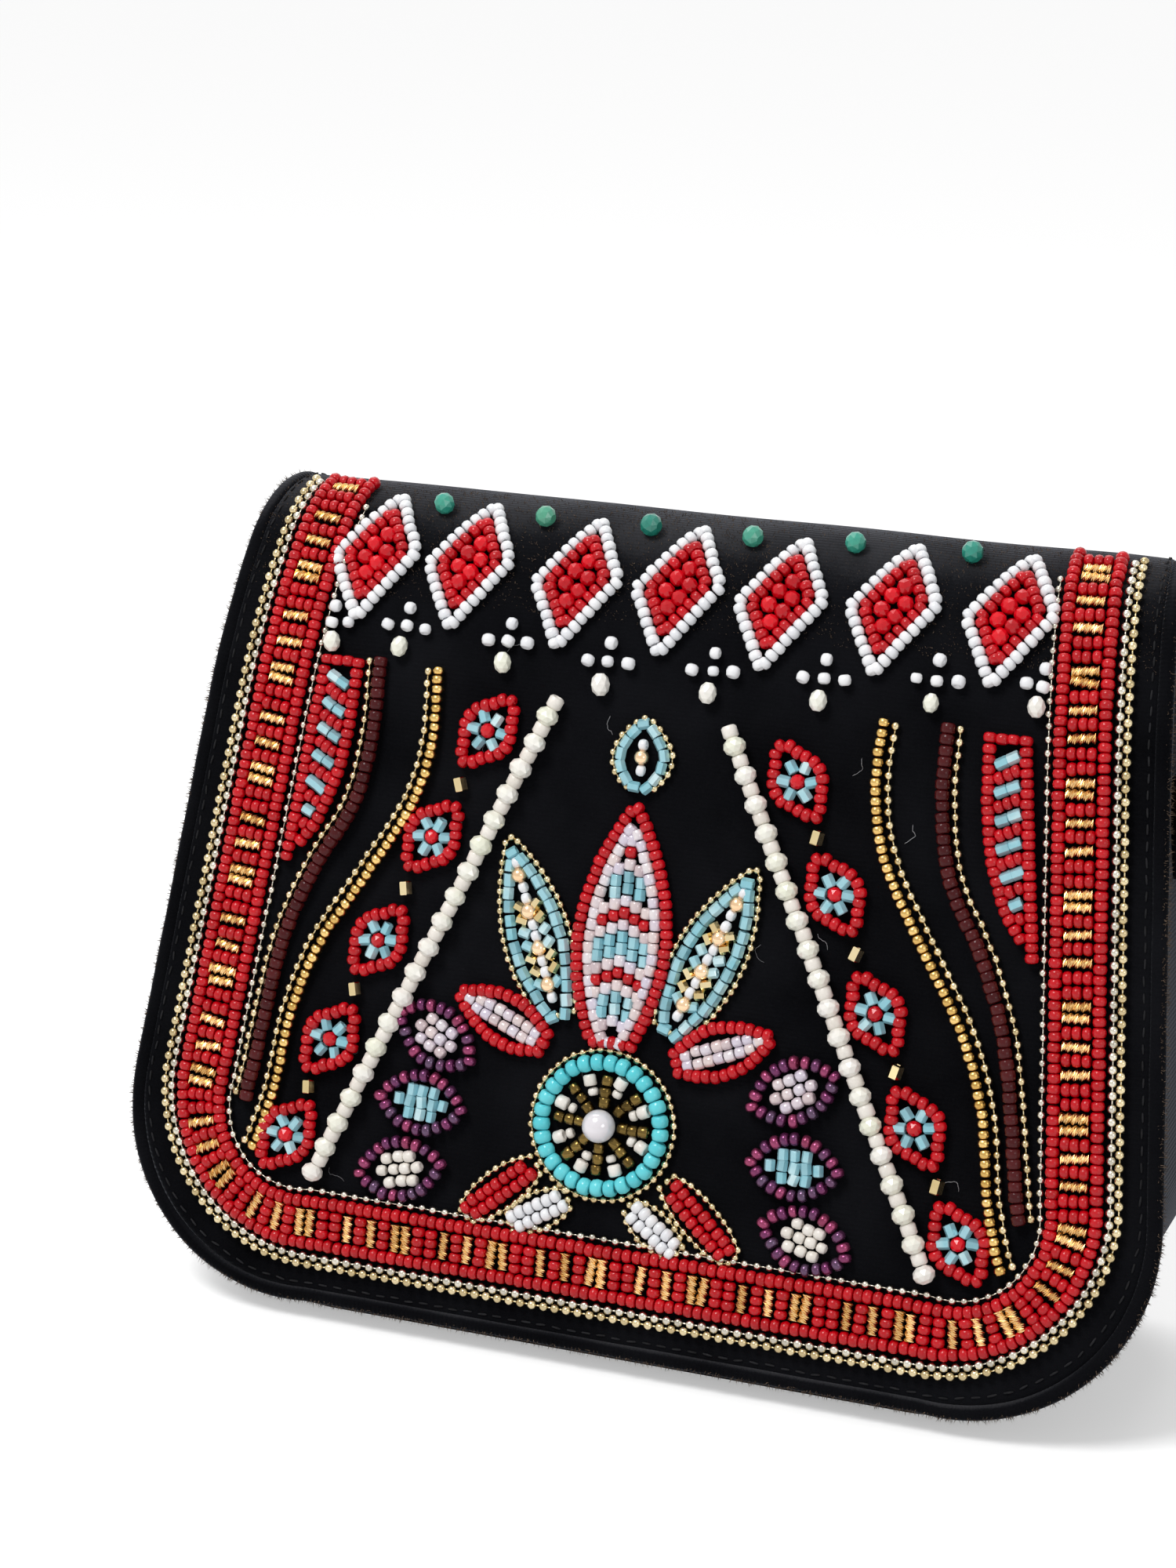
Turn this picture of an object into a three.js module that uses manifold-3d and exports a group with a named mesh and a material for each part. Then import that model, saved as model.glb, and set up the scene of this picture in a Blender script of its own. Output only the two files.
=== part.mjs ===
import * as THREE from 'three';
import { mergeVertices } from 'three/addons/utils/BufferGeometryUtils.js';
import Module from 'manifold-3d';

const wasm = await Module();
wasm.setup();

// A small evening bag: a velvet body that is closed by a wide, stiff flap covered with beadwork.
// X runs along the width, Y from the front to the back and Z up, in millimetres.
// The origin is the centre of the base. Points on the flap are given as (u, v, h): u along the
// width, v up along the velvet face from the bottom ball chain, h outward from the face.

// Flap outline
const chainHalfWidth = 82;
const chainCorner = 29;
const sideTaper = 0.1;
const edgeMargin = 6;
const flapLift = 3.5;

// Flap side profile, from the bottom chain up and over to the back
const flapLean = THREE.MathUtils.degToRad(14);
const faceLength = 93;
const easyRadius = 87;
const easyTurn = THREE.MathUtils.degToRad(18);
const browRadius = 17;
const rearRadius = 11;
const rearDrop = 5;

// Cloth, board and clearances
const boardThickness = 2.6;
const liningThickness = 0.6;
const weltRadius = 1.3;
const gap = 0.3;

// Body
const flapOverhang = 4;
const bodyHalfWidth = chainHalfWidth + edgeMargin - flapOverhang;
const bodyCorner = 34;
const mouthHeight = 112;
const liningDrop = 4;

// Magnetic snap
const snapRadius = 7;
const snapPlate = 1.2;
const snapHeight = 24;
const snapPost = 2.4;
const snapPostLength = 0.8;
const snapPostPlay = 0.4;

// Slip pocket on the back lining
const pocketWidth = 110;
const pocketHeight = 62;
const pocketBottom = 26;
const pocketDepth = 5;

// Strap rings and their tabs
const ringHeight = 98;
const ringWire = 1;
const ringInnerWidth = 12;
const ringInnerDrop = 9;
const tabWidth = 9;
const tabTail = 15;
const tabStrap = 1.2;
const ringPlay = 0.4;

// Border of the beadwork: places are measured inward from the outer ball chain
const ballChain = 1.6;
const secondChain = 1.9;
const outerRail = 3.9;
const railWidth = 1.8;
const barsMiddle = 7.5;
const barsWidth = 4.6;
const innerRail = 11.1;
const innerChain = 12.9;
const innerChainWidth = 1.2;
const barPeriod = 18.3;
const bandTop = 136;
const innerChainTop = 104;
const cornerPinch = 0.13;

// Bead heights above the velvet
const seedHeight = 1.7;
const goldHeight = 2.1;

const colours = {
  velvet: [0x0b0b0f, 0.95, 0],
  lining: [0x1a1718, 0.8, 0],
  gold: [0xd9a84a, 0.25, 1],
  silver: [0xc9c2ae, 0.25, 1],
  red: [0xb3161d, 0.25, 0],
  white: [0xe9e6e0, 0.3, 0],
  maroon: [0x3a1414, 0.3, 0],
  turquoise: [0x4fb7b9, 0.3, 0],
  aqua: [0x7ab6bb, 0.25, 0.1],
  lilac: [0xb9a3ad, 0.3, 0.1],
  plum: [0x4c2440, 0.25, 0.4],
  cream: [0xd9d6bf, 0.25, 0],
  pearl: [0xe6ddd8, 0.2, 0.1],
  metal: [0xc8a662, 0.3, 1],
};

// Side profile of the flap as straight and round stretches
const browTurn = Math.PI / 2 - flapLean - easyTurn;
const stretches = [
  { length: faceLength, turn: 0 },
  { length: easyRadius * easyTurn, turn: easyTurn },
  { length: browRadius * browTurn, turn: browTurn },
  { length: rearRadius * Math.PI / 2, turn: Math.PI / 2 },
  { length: rearDrop - gap / 2, turn: 0 },
];
const flapEnd = stretches.reduce((sum, stretch) => sum + stretch.length, 0);

// Height and run of the profile at v, from v = 0, with the angle of its tangent from upright
function profile(v) {
  let angle = flapLean;
  let run = 0;
  let rise = 0;
  let rest = v;
  for (const { length, turn } of stretches) {
    const part = Math.min(rest, length);
    const next = angle + turn * part / length;
    if (turn === 0) {
      run += part * Math.sin(angle);
      rise += part * Math.cos(angle);
    } else {
      run += length / turn * (Math.cos(angle) - Math.cos(next));
      rise += length / turn * (Math.sin(next) - Math.sin(angle));
    }
    angle = next;
    rest -= part;
    if (rest <= 0) break;
  }
  return { run, rise, angle };
}

// The layers from the flap's face to the front panel
const flapLining = boardThickness + gap;
const studTop = flapLining + liningThickness + gap;
const socketTop = studTop + snapPlate + gap;
const frontDepth = socketTop + snapPlate + gap;

const chainRise = flapLift + edgeMargin * Math.cos(flapLean);
const frontAtBase = frontDepth / Math.cos(flapLean) - chainRise * Math.tan(flapLean);
const backRun = profile(flapEnd).run;
const chainY = -(frontAtBase + backRun) / 2;
const backY = chainY + backRun;
const hingeZ = chainRise + profile(flapEnd).rise - gap / 2;

function place(u, v, h) {
  const { run, rise, angle } = profile(v);
  return [u, chainY + run - h * Math.cos(angle), chainRise + rise + h * Math.sin(angle)];
}

// Y of the surface that lies the given depth under the flap's face, at height z
function frontY(z, depth) {
  const bend = place(0, faceLength, -depth);
  if (z < bend[2]) return bend[1] - (bend[2] - z) * Math.tan(flapLean);
  const middle = place(0, faceLength, -easyRadius);
  const radius = easyRadius - depth;
  return middle[1] - Math.sqrt(radius ** 2 - (z - middle[2]) ** 2);
}

// Half width of the flap at v, the given distance outside the outer chain
function flapHalf(v, outside) {
  if (v > chainCorner) return chainHalfWidth + outside - sideTaper * (v - chainCorner);
  const reach = (chainCorner + outside) ** 2 - (chainCorner - v) ** 2;
  return chainHalfWidth - chainCorner + Math.sqrt(Math.max(reach, 0));
}

// Half width of the body at height z, the given distance inside its outer face
function bodyHalf(z, inside) {
  if (z > bodyCorner) return bodyHalfWidth - inside - sideTaper * (z - bodyCorner);
  const reach = (bodyCorner - inside) ** 2 - (bodyCorner - z) ** 2;
  return bodyHalfWidth - bodyCorner + Math.sqrt(Math.max(reach, 0));
}

function material(look) {
  const [color, roughness, metalness] = colours[look];
  return new THREE.MeshStandardMaterial({ color, roughness, metalness });
}

const bag = new THREE.Group();

function add(name, geometry, look, parent = bag) {
  const mesh = new THREE.Mesh(geometry, material(look));
  mesh.name = name;
  parent.add(mesh);
  return mesh;
}

function welded(geometry) {
  const bare = geometry.clone();
  bare.deleteAttribute('normal');
  bare.deleteAttribute('uv');
  return mergeVertices(bare, 1e-4);
}

function toSolid(geometry) {
  const merged = welded(geometry);
  return new wasm.Manifold(new wasm.Mesh({
    numProp: 3,
    vertProperties: merged.attributes.position.array,
    triVerts: new Uint32Array(merged.index.array),
  }));
}

function fromSolid(solid) {
  const { vertProperties, triVerts } = solid.getMesh();
  const geometry = new THREE.BufferGeometry();
  geometry.setAttribute('position', new THREE.BufferAttribute(vertProperties, 3));
  geometry.setIndex(new THREE.BufferAttribute(triVerts, 1));
  geometry.computeVertexNormals();
  return geometry;
}

function joined(geometries) {
  return fromSolid(geometries.map(toSolid).reduce((whole, next) => whole.add(next)));
}

function cut(geometry, tool) {
  return fromSolid(toSolid(geometry).subtract(toSolid(tool)));
}

// Moves each vertex of a box with unit half sizes to where a rule says
function shaped(columns, rows, layers, rule) {
  const box = new THREE.BoxGeometry(2, 2, 2, columns, rows, layers);
  const { position } = box.attributes;
  for (let i = 0; i < position.count; i++) {
    const row = Math.round((position.getY(i) + 1) / 2 * rows);
    position.setXYZ(i, ...rule(position.getX(i), row, position.getZ(i)));
  }
  return box;
}

// Lays a shape made in (u, v, h) onto the flap
function laid(geometry) {
  const { position } = geometry.attributes;
  for (let i = 0; i < position.count; i++) {
    position.setXYZ(i, ...place(position.getX(i), position.getY(i), position.getZ(i)));
  }
  return geometry;
}

// A strip of beads along stations on the flap; crown is the extra height of its middle
function strip(stations, high, crown = 0) {
  return laid(shaped(crown ? 2 : 1, stations.length - 1, 1, (x, row, z) => {
    const { u, v, du, dv, from, to, top = high } = stations[row];
    const offset = from + (to - from) * (x + 1) / 2;
    const height = top + crown * (1 - Math.abs(x));
    return [u + du * offset, v + dv * offset, z < 0 ? gap : height];
  }));
}

function withOffsets(stations, from, to) {
  return stations.map((station) => ({ ...station, from, to }));
}

// Steps in v between two heights that follow the bends of the flap
function bendSteps(from, to) {
  const longest = { flat: 200, easy: 7, sharp: 2.7 };
  const easyEnd = faceLength + stretches[1].length;
  const steps = [from];
  let v = from;
  while (v < to - 1e-6) {
    let next = v + longest.sharp;
    if (v < faceLength - 1e-6) next = Math.min(v + longest.flat, faceLength);
    else if (v < easyEnd - 1e-6) next = Math.min(v + longest.easy, easyEnd);
    const dropStart = flapEnd - stretches[4].length;
    if (v < dropStart - 1e-6) next = Math.min(next, dropStart);
    else next = to;
    v = Math.min(next, to);
    if (to - v < 0.5) v = to;
    steps.push(v);
  }
  return steps;
}

// Stations along the border, from the top left down, round the bottom and up the right
function borderStations(top, cornerSteps, pinch = 0) {
  const right = [];
  for (let i = 0; i <= cornerSteps; i++) {
    const turn = i / cornerSteps * Math.PI / 2;
    const spread = 1 - pinch * Math.sin(2 * turn);
    right.push({
      u: chainHalfWidth - chainCorner + chainCorner * Math.sin(turn),
      v: chainCorner * (1 - Math.cos(turn)),
      du: spread * Math.sin(turn),
      dv: -spread * Math.cos(turn),
    });
  }
  for (const v of bendSteps(chainCorner, top).slice(1)) {
    right.push({ u: flapHalf(v, 0), v, du: 1, dv: 0 });
  }
  const left = right.map((station) => ({ ...station, u: -station.u, du: -station.du }));
  return [...left.reverse(), ...right];
}

// Velvet flap, its rolled edge and its lining
function flapRows(outside, end) {
  const rows = [];
  const cornerSteps = 9;
  for (let i = 0; i <= cornerSteps; i++) {
    rows.push(chainCorner - (chainCorner + outside) * Math.cos(i / cornerSteps * Math.PI / 2));
  }
  rows.push(...bendSteps(chainCorner, end).slice(1));
  return rows;
}

function flapSheet(outside, low, high, end) {
  const rows = flapRows(outside, end);
  return laid(shaped(1, rows.length - 1, 1, (x, row, z) => {
    const v = rows[row];
    return [x * flapHalf(v, outside), v, z < 0 ? low : high];
  }));
}

function welt(stations) {
  return laid(shaped(2, stations.length - 1, 2, (x, row, z) => {
    const { u, v, du, dv } = stations[row];
    const turn = Math.atan2(z, x);
    const round = x === 0 && z === 0 ? 0 : weltRadius;
    const offset = edgeMargin - weltRadius + round * Math.cos(turn);
    return [u + du * offset, v + dv * offset, -boardThickness / 2 + round * Math.sin(turn)];
  }));
}

// Seed dots: green beads between the diamonds and small sprigs under them
const diamondCount = 7;
const diamondPitch = 17.6;
const diamondMiddle = -0.8;
const diamondRow = 118.7;
const diamondHalfWidth = 6.3;
const diamondHalfHeight = 11;
const diamondSkew = 0.16;
const sprigTop = 110;
const sprigArm = 3.7;
const sprigDrop = 6.6;
const greenRow = 129.2;
const dotRadius = 1.2;
const greenRadius = 1.9;

function dot(u, v, radius) {
  const bead = new THREE.OctahedronGeometry(radius, 0);
  bead.translate(u, v, 0);
  return laid(bead);
}

function seedDots() {
  const dots = [];
  for (let i = 0; i <= diamondCount; i++) {
    const u = diamondMiddle + (i - diamondCount / 2) * diamondPitch;
    if (i > 0 && i < diamondCount) dots.push(dot(u, greenRow, greenRadius));
    if (Math.abs(u) > flapHalf(sprigTop, -innerChain) - 2 * sprigArm) continue;
    dots.push(dot(u, sprigTop, dotRadius));
    for (const arm of [-1, 0, 1]) dots.push(dot(u + arm * sprigArm, sprigTop - 3, dotRadius));
    dots.push(dot(u, sprigTop - sprigDrop, greenRadius));
  }
  return dots;
}

const coverInset = edgeMargin - 2 * weltRadius - gap;
const cover = flapSheet(coverInset, -boardThickness, 0, flapEnd);
add('flap_cover', joined([cover, ...seedDots()]), 'velvet');
add('flap_welt', welt(borderStations(flapEnd, 9)), 'velvet');
const liningEnd = flapEnd - liningDrop;
const liningLow = -flapLining - liningThickness;
add('flap_lining', flapSheet(coverInset, liningLow, -flapLining, liningEnd), 'lining');

// Border of ball chains, red rails and twisted gold bars
const border = borderStations(bandTop, 8, cornerPinch);

function borderStrip(name, inward, width, height, look, stations = border) {
  add(name, strip(withOffsets(stations, -inward - width / 2, -inward + width / 2), height), look);
}

borderStrip('border_chain_outer', 0, ballChain, goldHeight, 'gold');
borderStrip('border_chain_second', secondChain, ballChain, goldHeight, 'silver');
borderStrip('border_rail_outer', outerRail, railWidth, seedHeight + gap, 'red');
borderStrip('border_rail_inner', innerRail, railWidth, seedHeight + gap, 'red');
const shortBorder = borderStations(innerChainTop, 8, cornerPinch);
borderStrip('border_chain_inner', innerChain, innerChainWidth, seedHeight, 'gold', shortBorder);

// A point of a run of stations at a distance along its middle line
function along(stations, inward) {
  const line = stations.map(({ u, v, du, dv }) => new THREE.Vector2(u - du * inward, v - dv * inward));
  const lengths = [0];
  for (let i = 1; i < line.length; i++) lengths.push(lengths[i - 1] + line[i].distanceTo(line[i - 1]));
  const total = lengths[lengths.length - 1];
  const at = (distance) => {
    let i = 1;
    while (i < lengths.length - 1 && lengths[i] < distance) i++;
    const share = (distance - lengths[i - 1]) / (lengths[i] - lengths[i - 1]);
    const mix = (key) => stations[i - 1][key] * (1 - share) + stations[i][key] * share;
    return { u: mix('u'), v: mix('v'), du: mix('du'), dv: mix('dv') };
  };
  return { total, lengths, at };
}

// The middle of the border: raised gold bars, one double and two single, between red rows
function barStations() {
  const { total, lengths, at } = along(border, barsMiddle);
  const periods = Math.round(total / barPeriod);
  const period = total / periods;
  const bars = [[0.06, 0.26], [0.4, 0.5], [0.64, 0.74]];
  const marks = [];
  for (let i = 0; i < periods; i++) {
    for (const [start, stop] of bars) {
      const first = (i + start) * period;
      const last = (i + stop) * period;
      const slope = 0.25;
      marks.push([first - slope, seedHeight], [first, goldHeight + gap]);
      marks.push([last, goldHeight + gap], [last + slope, seedHeight]);
    }
  }
  const crowded = (distance) => marks.some(([mark]) => Math.abs(mark - distance) < 0.9);
  const bends = lengths.filter((distance) => !crowded(distance));
  const inBar = (distance) => bars.some(([start, stop]) => {
    const share = (distance / period) % 1;
    return share > start && share < stop;
  });
  for (const distance of bends) marks.push([distance, inBar(distance) ? goldHeight + gap : seedHeight]);
  marks.sort((a, b) => a[0] - b[0]);
  const from = -barsMiddle - barsWidth / 2;
  return marks.map(([distance, top]) => ({ ...at(distance), from, to: from + barsWidth, top }));
}

add('border_bars', strip(barStations(), seedHeight), 'red');

// Stations from the base to the tip of a leaf, whose width follows a rule of the share along it
function leafStations(base, heading, length, widthRule, steps) {
  const direction = new THREE.Vector2(Math.sin(heading), Math.cos(heading));
  const stations = [];
  for (let i = 0; i <= steps; i++) {
    const half = Math.max(widthRule(i / steps), 0.35);
    stations.push({
      u: base[0] + direction.x * length * i / steps,
      v: base[1] + direction.y * length * i / steps,
      du: direction.y,
      dv: -direction.x,
      from: -half,
      to: half,
    });
  }
  return stations;
}

// White and red diamonds along the top of the flap
for (let i = 0; i < diamondCount; i++) {
  const middle = diamondMiddle + (i - (diamondCount - 1) / 2) * diamondPitch;
  const steps = 8;
  const stations = [];
  for (let row = 0; row <= steps; row++) {
    const share = row / steps * 2 - 1;
    const half = Math.max(diamondHalfWidth * (1 - Math.abs(share)), 0.5);
    const v = diamondRow + share * diamondHalfHeight;
    const u = middle + share * diamondHalfHeight * diamondSkew;
    stations.push({ u, v, du: 1, dv: 0, from: -half, to: half });
  }
  add(`diamond_${i + 1}`, strip(stations, seedHeight, 0.8), 'red');
}

// Stripes that sweep down both sides
const stripeInner = -railWidth / 2;
const stripeOuter = railWidth / 2 + ballChain;
const maroonPath = [[48.3, 102], [48.4, 90], [50.6, 78], [56.6, 66.7], [61.2, 55], [63.7, 42], [65, 29]];
const goldPath = [[37.9, 101.5], [37.6, 90], [40.2, 79], [47, 67], [54.8, 54], [59, 42], [60.7, 30], [63.2, 20]];
const stripeDrift = -0.029;
const stripeDriftFrom = 20;

function curveStations(points, side, count) {
  const bent = points.map(([u, v]) => new THREE.Vector2(
    side * u + stripeDrift * (v - stripeDriftFrom), v,
  ));
  if (side > 0) bent.reverse();
  const curve = new THREE.SplineCurve(bent);
  const stations = [];
  for (let i = 0; i <= count; i++) {
    const point = curve.getPointAt(i / count);
    const tangent = curve.getTangentAt(i / count);
    stations.push({ u: point.x, v: point.y, du: tangent.y, dv: -tangent.x });
  }
  return stations;
}

for (const [label, side] of [['left', -1], ['right', 1]]) {
  const maroon = withOffsets(curveStations(maroonPath, side, 16), stripeInner, stripeOuter);
  add(`stripe_maroon_${label}`, strip(maroon, seedHeight, gap), 'maroon');
  const gold = withOffsets(curveStations(goldPath, side, 18), stripeInner, stripeOuter);
  add(`stripe_gold_${label}`, strip(gold, seedHeight, gap), 'gold');
}

// Red wings that fill the corners beside the stripes
const wingTop = 100.5;
const wingWidths = [[66, 0.5], [70, 3.8], [74, 6.2], [82, 8.2], [91, 8.4], [wingTop, 7.4]];

for (const [label, side] of [['left', -1], ['right', 1]]) {
  const stations = wingWidths.map(([v, width]) => {
    const outer = side * flapHalf(v, -innerChain - innerChainWidth / 2 - gap);
    const inner = outer - side * width;
    return { u: 0, v, du: 1, dv: 0, from: Math.min(outer, inner), to: Math.max(outer, inner) };
  });
  add(`wing_${label}`, strip(stations, seedHeight, gap), 'red');
}

// Strings of faceted beads with small cylinders between them
const stringTop = [14.8, 97.2];
const stringBottom = [52.8, 14.5];
const stringDrift = -4.1;
const rondelleRadius = 1.9;
const rondellePitch = 4.86;
const spacerRadius = 1.1;

function onFlap(geometry, u, v, h) {
  geometry.translate(u, v, h);
  return laid(geometry);
}

for (const [label, side] of [['left', -1], ['right', 1]]) {
  const top = new THREE.Vector2(side * stringTop[0] + stringDrift, stringTop[1]);
  const bottom = new THREE.Vector2(side * stringBottom[0], stringBottom[1]);
  const length = top.distanceTo(bottom);
  const count = Math.round(length / rondellePitch);
  const pitch = length / count;
  const outline = [new THREE.Vector2(0, 0), new THREE.Vector2(spacerRadius, 0)];
  for (let i = 0; i < count; i++) {
    outline.push(new THREE.Vector2(spacerRadius, (i + 0.25) * pitch));
    outline.push(new THREE.Vector2(rondelleRadius, (i + 0.4) * pitch));
    outline.push(new THREE.Vector2(rondelleRadius, (i + 0.6) * pitch));
    outline.push(new THREE.Vector2(spacerRadius, (i + 0.75) * pitch));
  }
  outline.push(new THREE.Vector2(spacerRadius, length), new THREE.Vector2(0, length));
  const string = new THREE.LatheGeometry(outline, 6);
  string.rotateZ(Math.atan2(-(top.x - bottom.x), top.y - bottom.y));
  add(`rondelle_string_${label}`, onFlap(string, bottom.x, bottom.y, rondelleRadius + gap), 'cream');
}

// Garlands of small red rosettes joined by gold cubes
const garlandTop = [26.3, 91.5];
const garlandBottom = [57, 22];
const garlandDrift = -4;
const rosetteCount = 5;
const rosetteHalfWidth = 4.4;
const rosetteHalfLength = 6;
const threadWidth = 0.8;
const cubeSize = 1.9;

for (const [label, side] of [['left', -1], ['right', 1]]) {
  const top = new THREE.Vector2(side * garlandTop[0] + garlandDrift, garlandTop[1]);
  const bottom = new THREE.Vector2(side * garlandBottom[0], garlandBottom[1]);
  const heading = Math.atan2(top.x - bottom.x, top.y - bottom.y);
  const spacing = top.distanceTo(bottom) / (rosetteCount - 1);
  const stations = [];
  const addStation = (distance, half) => stations.push({
    u: bottom.x + Math.sin(heading) * distance,
    v: bottom.y + Math.cos(heading) * distance,
    du: Math.cos(heading),
    dv: -Math.sin(heading),
    from: -half,
    to: half,
    top: half > threadWidth ? seedHeight + gap : gap + threadWidth,
  });
  for (let i = 0; i < rosetteCount; i++) {
    for (const [share, width] of [[-1, 0.16], [-0.5, 0.8], [0, 1], [0.5, 0.8], [1, 0.16]]) {
      addStation(i * spacing + share * rosetteHalfLength, width * rosetteHalfWidth);
    }
    if (i === rosetteCount - 1) continue;
    for (const share of [-1, 1]) {
      addStation((i + 0.5) * spacing + share * (cubeSize / 2 + 0.1), threadWidth / 2);
      addStation((i + 0.5) * spacing + share * cubeSize / 2, cubeSize / 2);
    }
    const count = stations.length;
    [stations[count - 2], stations[count - 1]] = [stations[count - 1], stations[count - 2]];
  }
  add(`garland_${label}`, strip(stations, seedHeight), 'red');
}

// Wheel at the foot of the middle ornament
const centreLine = -3.5;
const borderInside = innerChain + innerChainWidth / 2;
const leafRoom = 6.2;
const wheelRadius = 10.2;
const wheelBead = 1.3;
const wheelHeight = borderInside + leafRoom + wheelBead + wheelRadius;
const spokeCount = 16;
const spokeInner = 3.3;
const pearlRadius = 2.7;

const ring = new THREE.TorusGeometry(wheelRadius, wheelBead, 6, 24);
add('wheel_ring', onFlap(ring, centreLine, wheelHeight, wheelBead + gap), 'turquoise');

function spokes() {
  const outer = wheelRadius - wheelBead - gap;
  const shape = new THREE.Shape();
  for (let i = 0; i < 2 * spokeCount; i++) {
    const turn = i / (2 * spokeCount) * 2 * Math.PI;
    const radius = i % 4 < 2 ? outer : outer - 1.6;
    const method = i === 0 ? 'moveTo' : 'lineTo';
    shape[method](radius * Math.cos(turn), radius * Math.sin(turn));
  }
  const hole = new THREE.Path();
  hole.absarc(0, 0, spokeInner, 0, 2 * Math.PI, true);
  shape.holes.push(hole);
  return new THREE.ExtrudeGeometry(shape, { depth: seedHeight, bevelEnabled: false, curveSegments: 8 });
}

add('wheel_spokes', onFlap(spokes(), centreLine, wheelHeight, gap), 'gold');
const pearl = new THREE.IcosahedronGeometry(pearlRadius, 1);
add('wheel_pearl', onFlap(pearl, centreLine, wheelHeight, pearlRadius + gap), 'pearl');

// Leaves that fan from under the wheel down to the border, and almonds beside the wheel
const leafShape = (half) => (share) => half * Math.sin(Math.PI * Math.min(share * 0.9 + 0.05, 1)) ** 0.6;
const leafGap = 1.8;
const redLeaf = { turn: THREE.MathUtils.degToRad(53), tipReach: 23.2, tipLift: 1.7, half: 2.6 };
const whiteLeaf = { turn: THREE.MathUtils.degToRad(20.2), tipReach: 14, tipLift: 1.2, half: 2 };

function leaf(name, { turn, tipReach, tipLift, half }, side, middle, look) {
  const reach = wheelRadius + wheelBead + leafGap;
  const start = [middle + side * reach * Math.sin(turn), wheelHeight - reach * Math.cos(turn)];
  const run = [middle + side * tipReach - start[0], borderInside + tipLift - start[1]];
  const length = Math.hypot(...run);
  const stations = leafStations(start, Math.atan2(...run), length, leafShape(half), 6);
  add(name, strip(stations, seedHeight, gap), look);
}

const almondRows = [[29.9, 41.3], [32, 29.4], [35, 18.2]];
const almondHalfLength = 7;
const almondHalfWidth = 4.4;
const almondTilt = 0.12;
const almondLine = -2.5;

for (const [label, side] of [['left', -1], ['right', 1]]) {
  leaf(`leaf_red_${label}`, redLeaf, side, centreLine, 'red');
  leaf(`leaf_white_${label}`, whiteLeaf, side, centreLine, 'white');
  almondRows.forEach(([reach, height], row) => {
    const base = [almondLine + side * (reach - almondHalfLength), height + almondHalfLength * almondTilt];
    const heading = side * (Math.PI / 2 + almondTilt);
    const rule = (share) => almondHalfWidth * Math.sin(Math.PI * share) ** 0.9;
    const stations = leafStations(base, heading, 2 * almondHalfLength, rule, 8);
    add(`almond_${label}_${row + 1}`, strip(stations, seedHeight, gap), 'plum');
  });
}

// Lotus in the middle: a tall petal between two pairs that fan out, with a finial above
const lotusGap = 1.9;
const lotusBase = wheelHeight + wheelRadius + wheelBead + lotusGap;
const finialLength = 11.5;
const finialHalf = 4.6;
const finialGap = 1.4;
const ornamentTop = sprigTop - sprigDrop - greenRadius - 4;
const finialBase = ornamentTop - finialLength;
const middleLength = finialBase - finialGap - lotusBase;
const lotusPetals = [
  { name: 'lotus_petal_middle', out: 0, up: 0, turn: 0, length: middleLength, half: 7.8, look: 'lilac' },
  { name: 'lotus_petal_upper', out: 9.6, up: 3.1, turn: 22.5, length: 30.5, half: 4.9, look: 'aqua' },
  { name: 'lotus_petal_lower', out: 11.5, up: -1.6, turn: 68, length: 17, half: 3.6, look: 'lilac' },
];
const petalRule = (half) => (share) => half * Math.sin(Math.PI * Math.min(0.16 + share * 0.84, 1)) ** 0.85;

function petal(name, base, turn, length, half, look) {
  add(name, strip(leafStations(base, turn, length, petalRule(half), 10), seedHeight, gap), look);
}

for (const { name, out, up, turn, length, half, look } of lotusPetals) {
  const sides = out === 0 ? [['', 0]] : [['_left', -1], ['_right', 1]];
  for (const [ending, side] of sides) {
    const base = [centreLine + side * out, lotusBase + up];
    petal(name + ending, base, side * THREE.MathUtils.degToRad(turn), length, half, look);
  }
}
petal('lotus_finial', [centreLine, finialBase], 0, finialLength, finialHalf, 'turquoise');

// Body: walls between two outlines, from the near face to the far face
function block(levels, half, near, far) {
  return shaped(1, levels.length - 1, 1, (x, row, z) => {
    const level = levels[row];
    return [x * half(level), z > 0 ? near(level) : far(level), level];
  });
}

// Heights that follow the round lower corners and the bend of the front
function bodyLevels(inside, top) {
  const levels = [];
  const cornerSteps = 8;
  for (let i = 0; i <= cornerSteps; i++) {
    levels.push(bodyCorner - (bodyCorner - inside) * Math.cos(i / cornerSteps * Math.PI / 2));
  }
  const bendStart = place(0, faceLength, -frontDepth)[2];
  for (const level of [bendStart - 3, bendStart + 2, bendStart + 7]) {
    if (level < top - 1 && level > bodyCorner + 1) levels.push(level);
  }
  levels.push(top);
  return levels;
}

const wall = boardThickness;
const backTop = hingeZ - gap / 2;
const rawHalf = (z) => bodyHalf(z, 0);
add('front_panel', block(
  bodyLevels(0, mouthHeight),
  rawHalf,
  (z) => frontY(z, frontDepth),
  (z) => frontY(z, frontDepth + wall),
), 'velvet');
add('back_panel', block(bodyLevels(0, backTop), rawHalf, () => backY - wall, () => backY), 'velvet');

// Gussets and base lie between the front and the back
const nearWall = (z) => frontY(z, frontDepth + wall + gap);
const farWall = backY - wall - gap;

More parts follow.
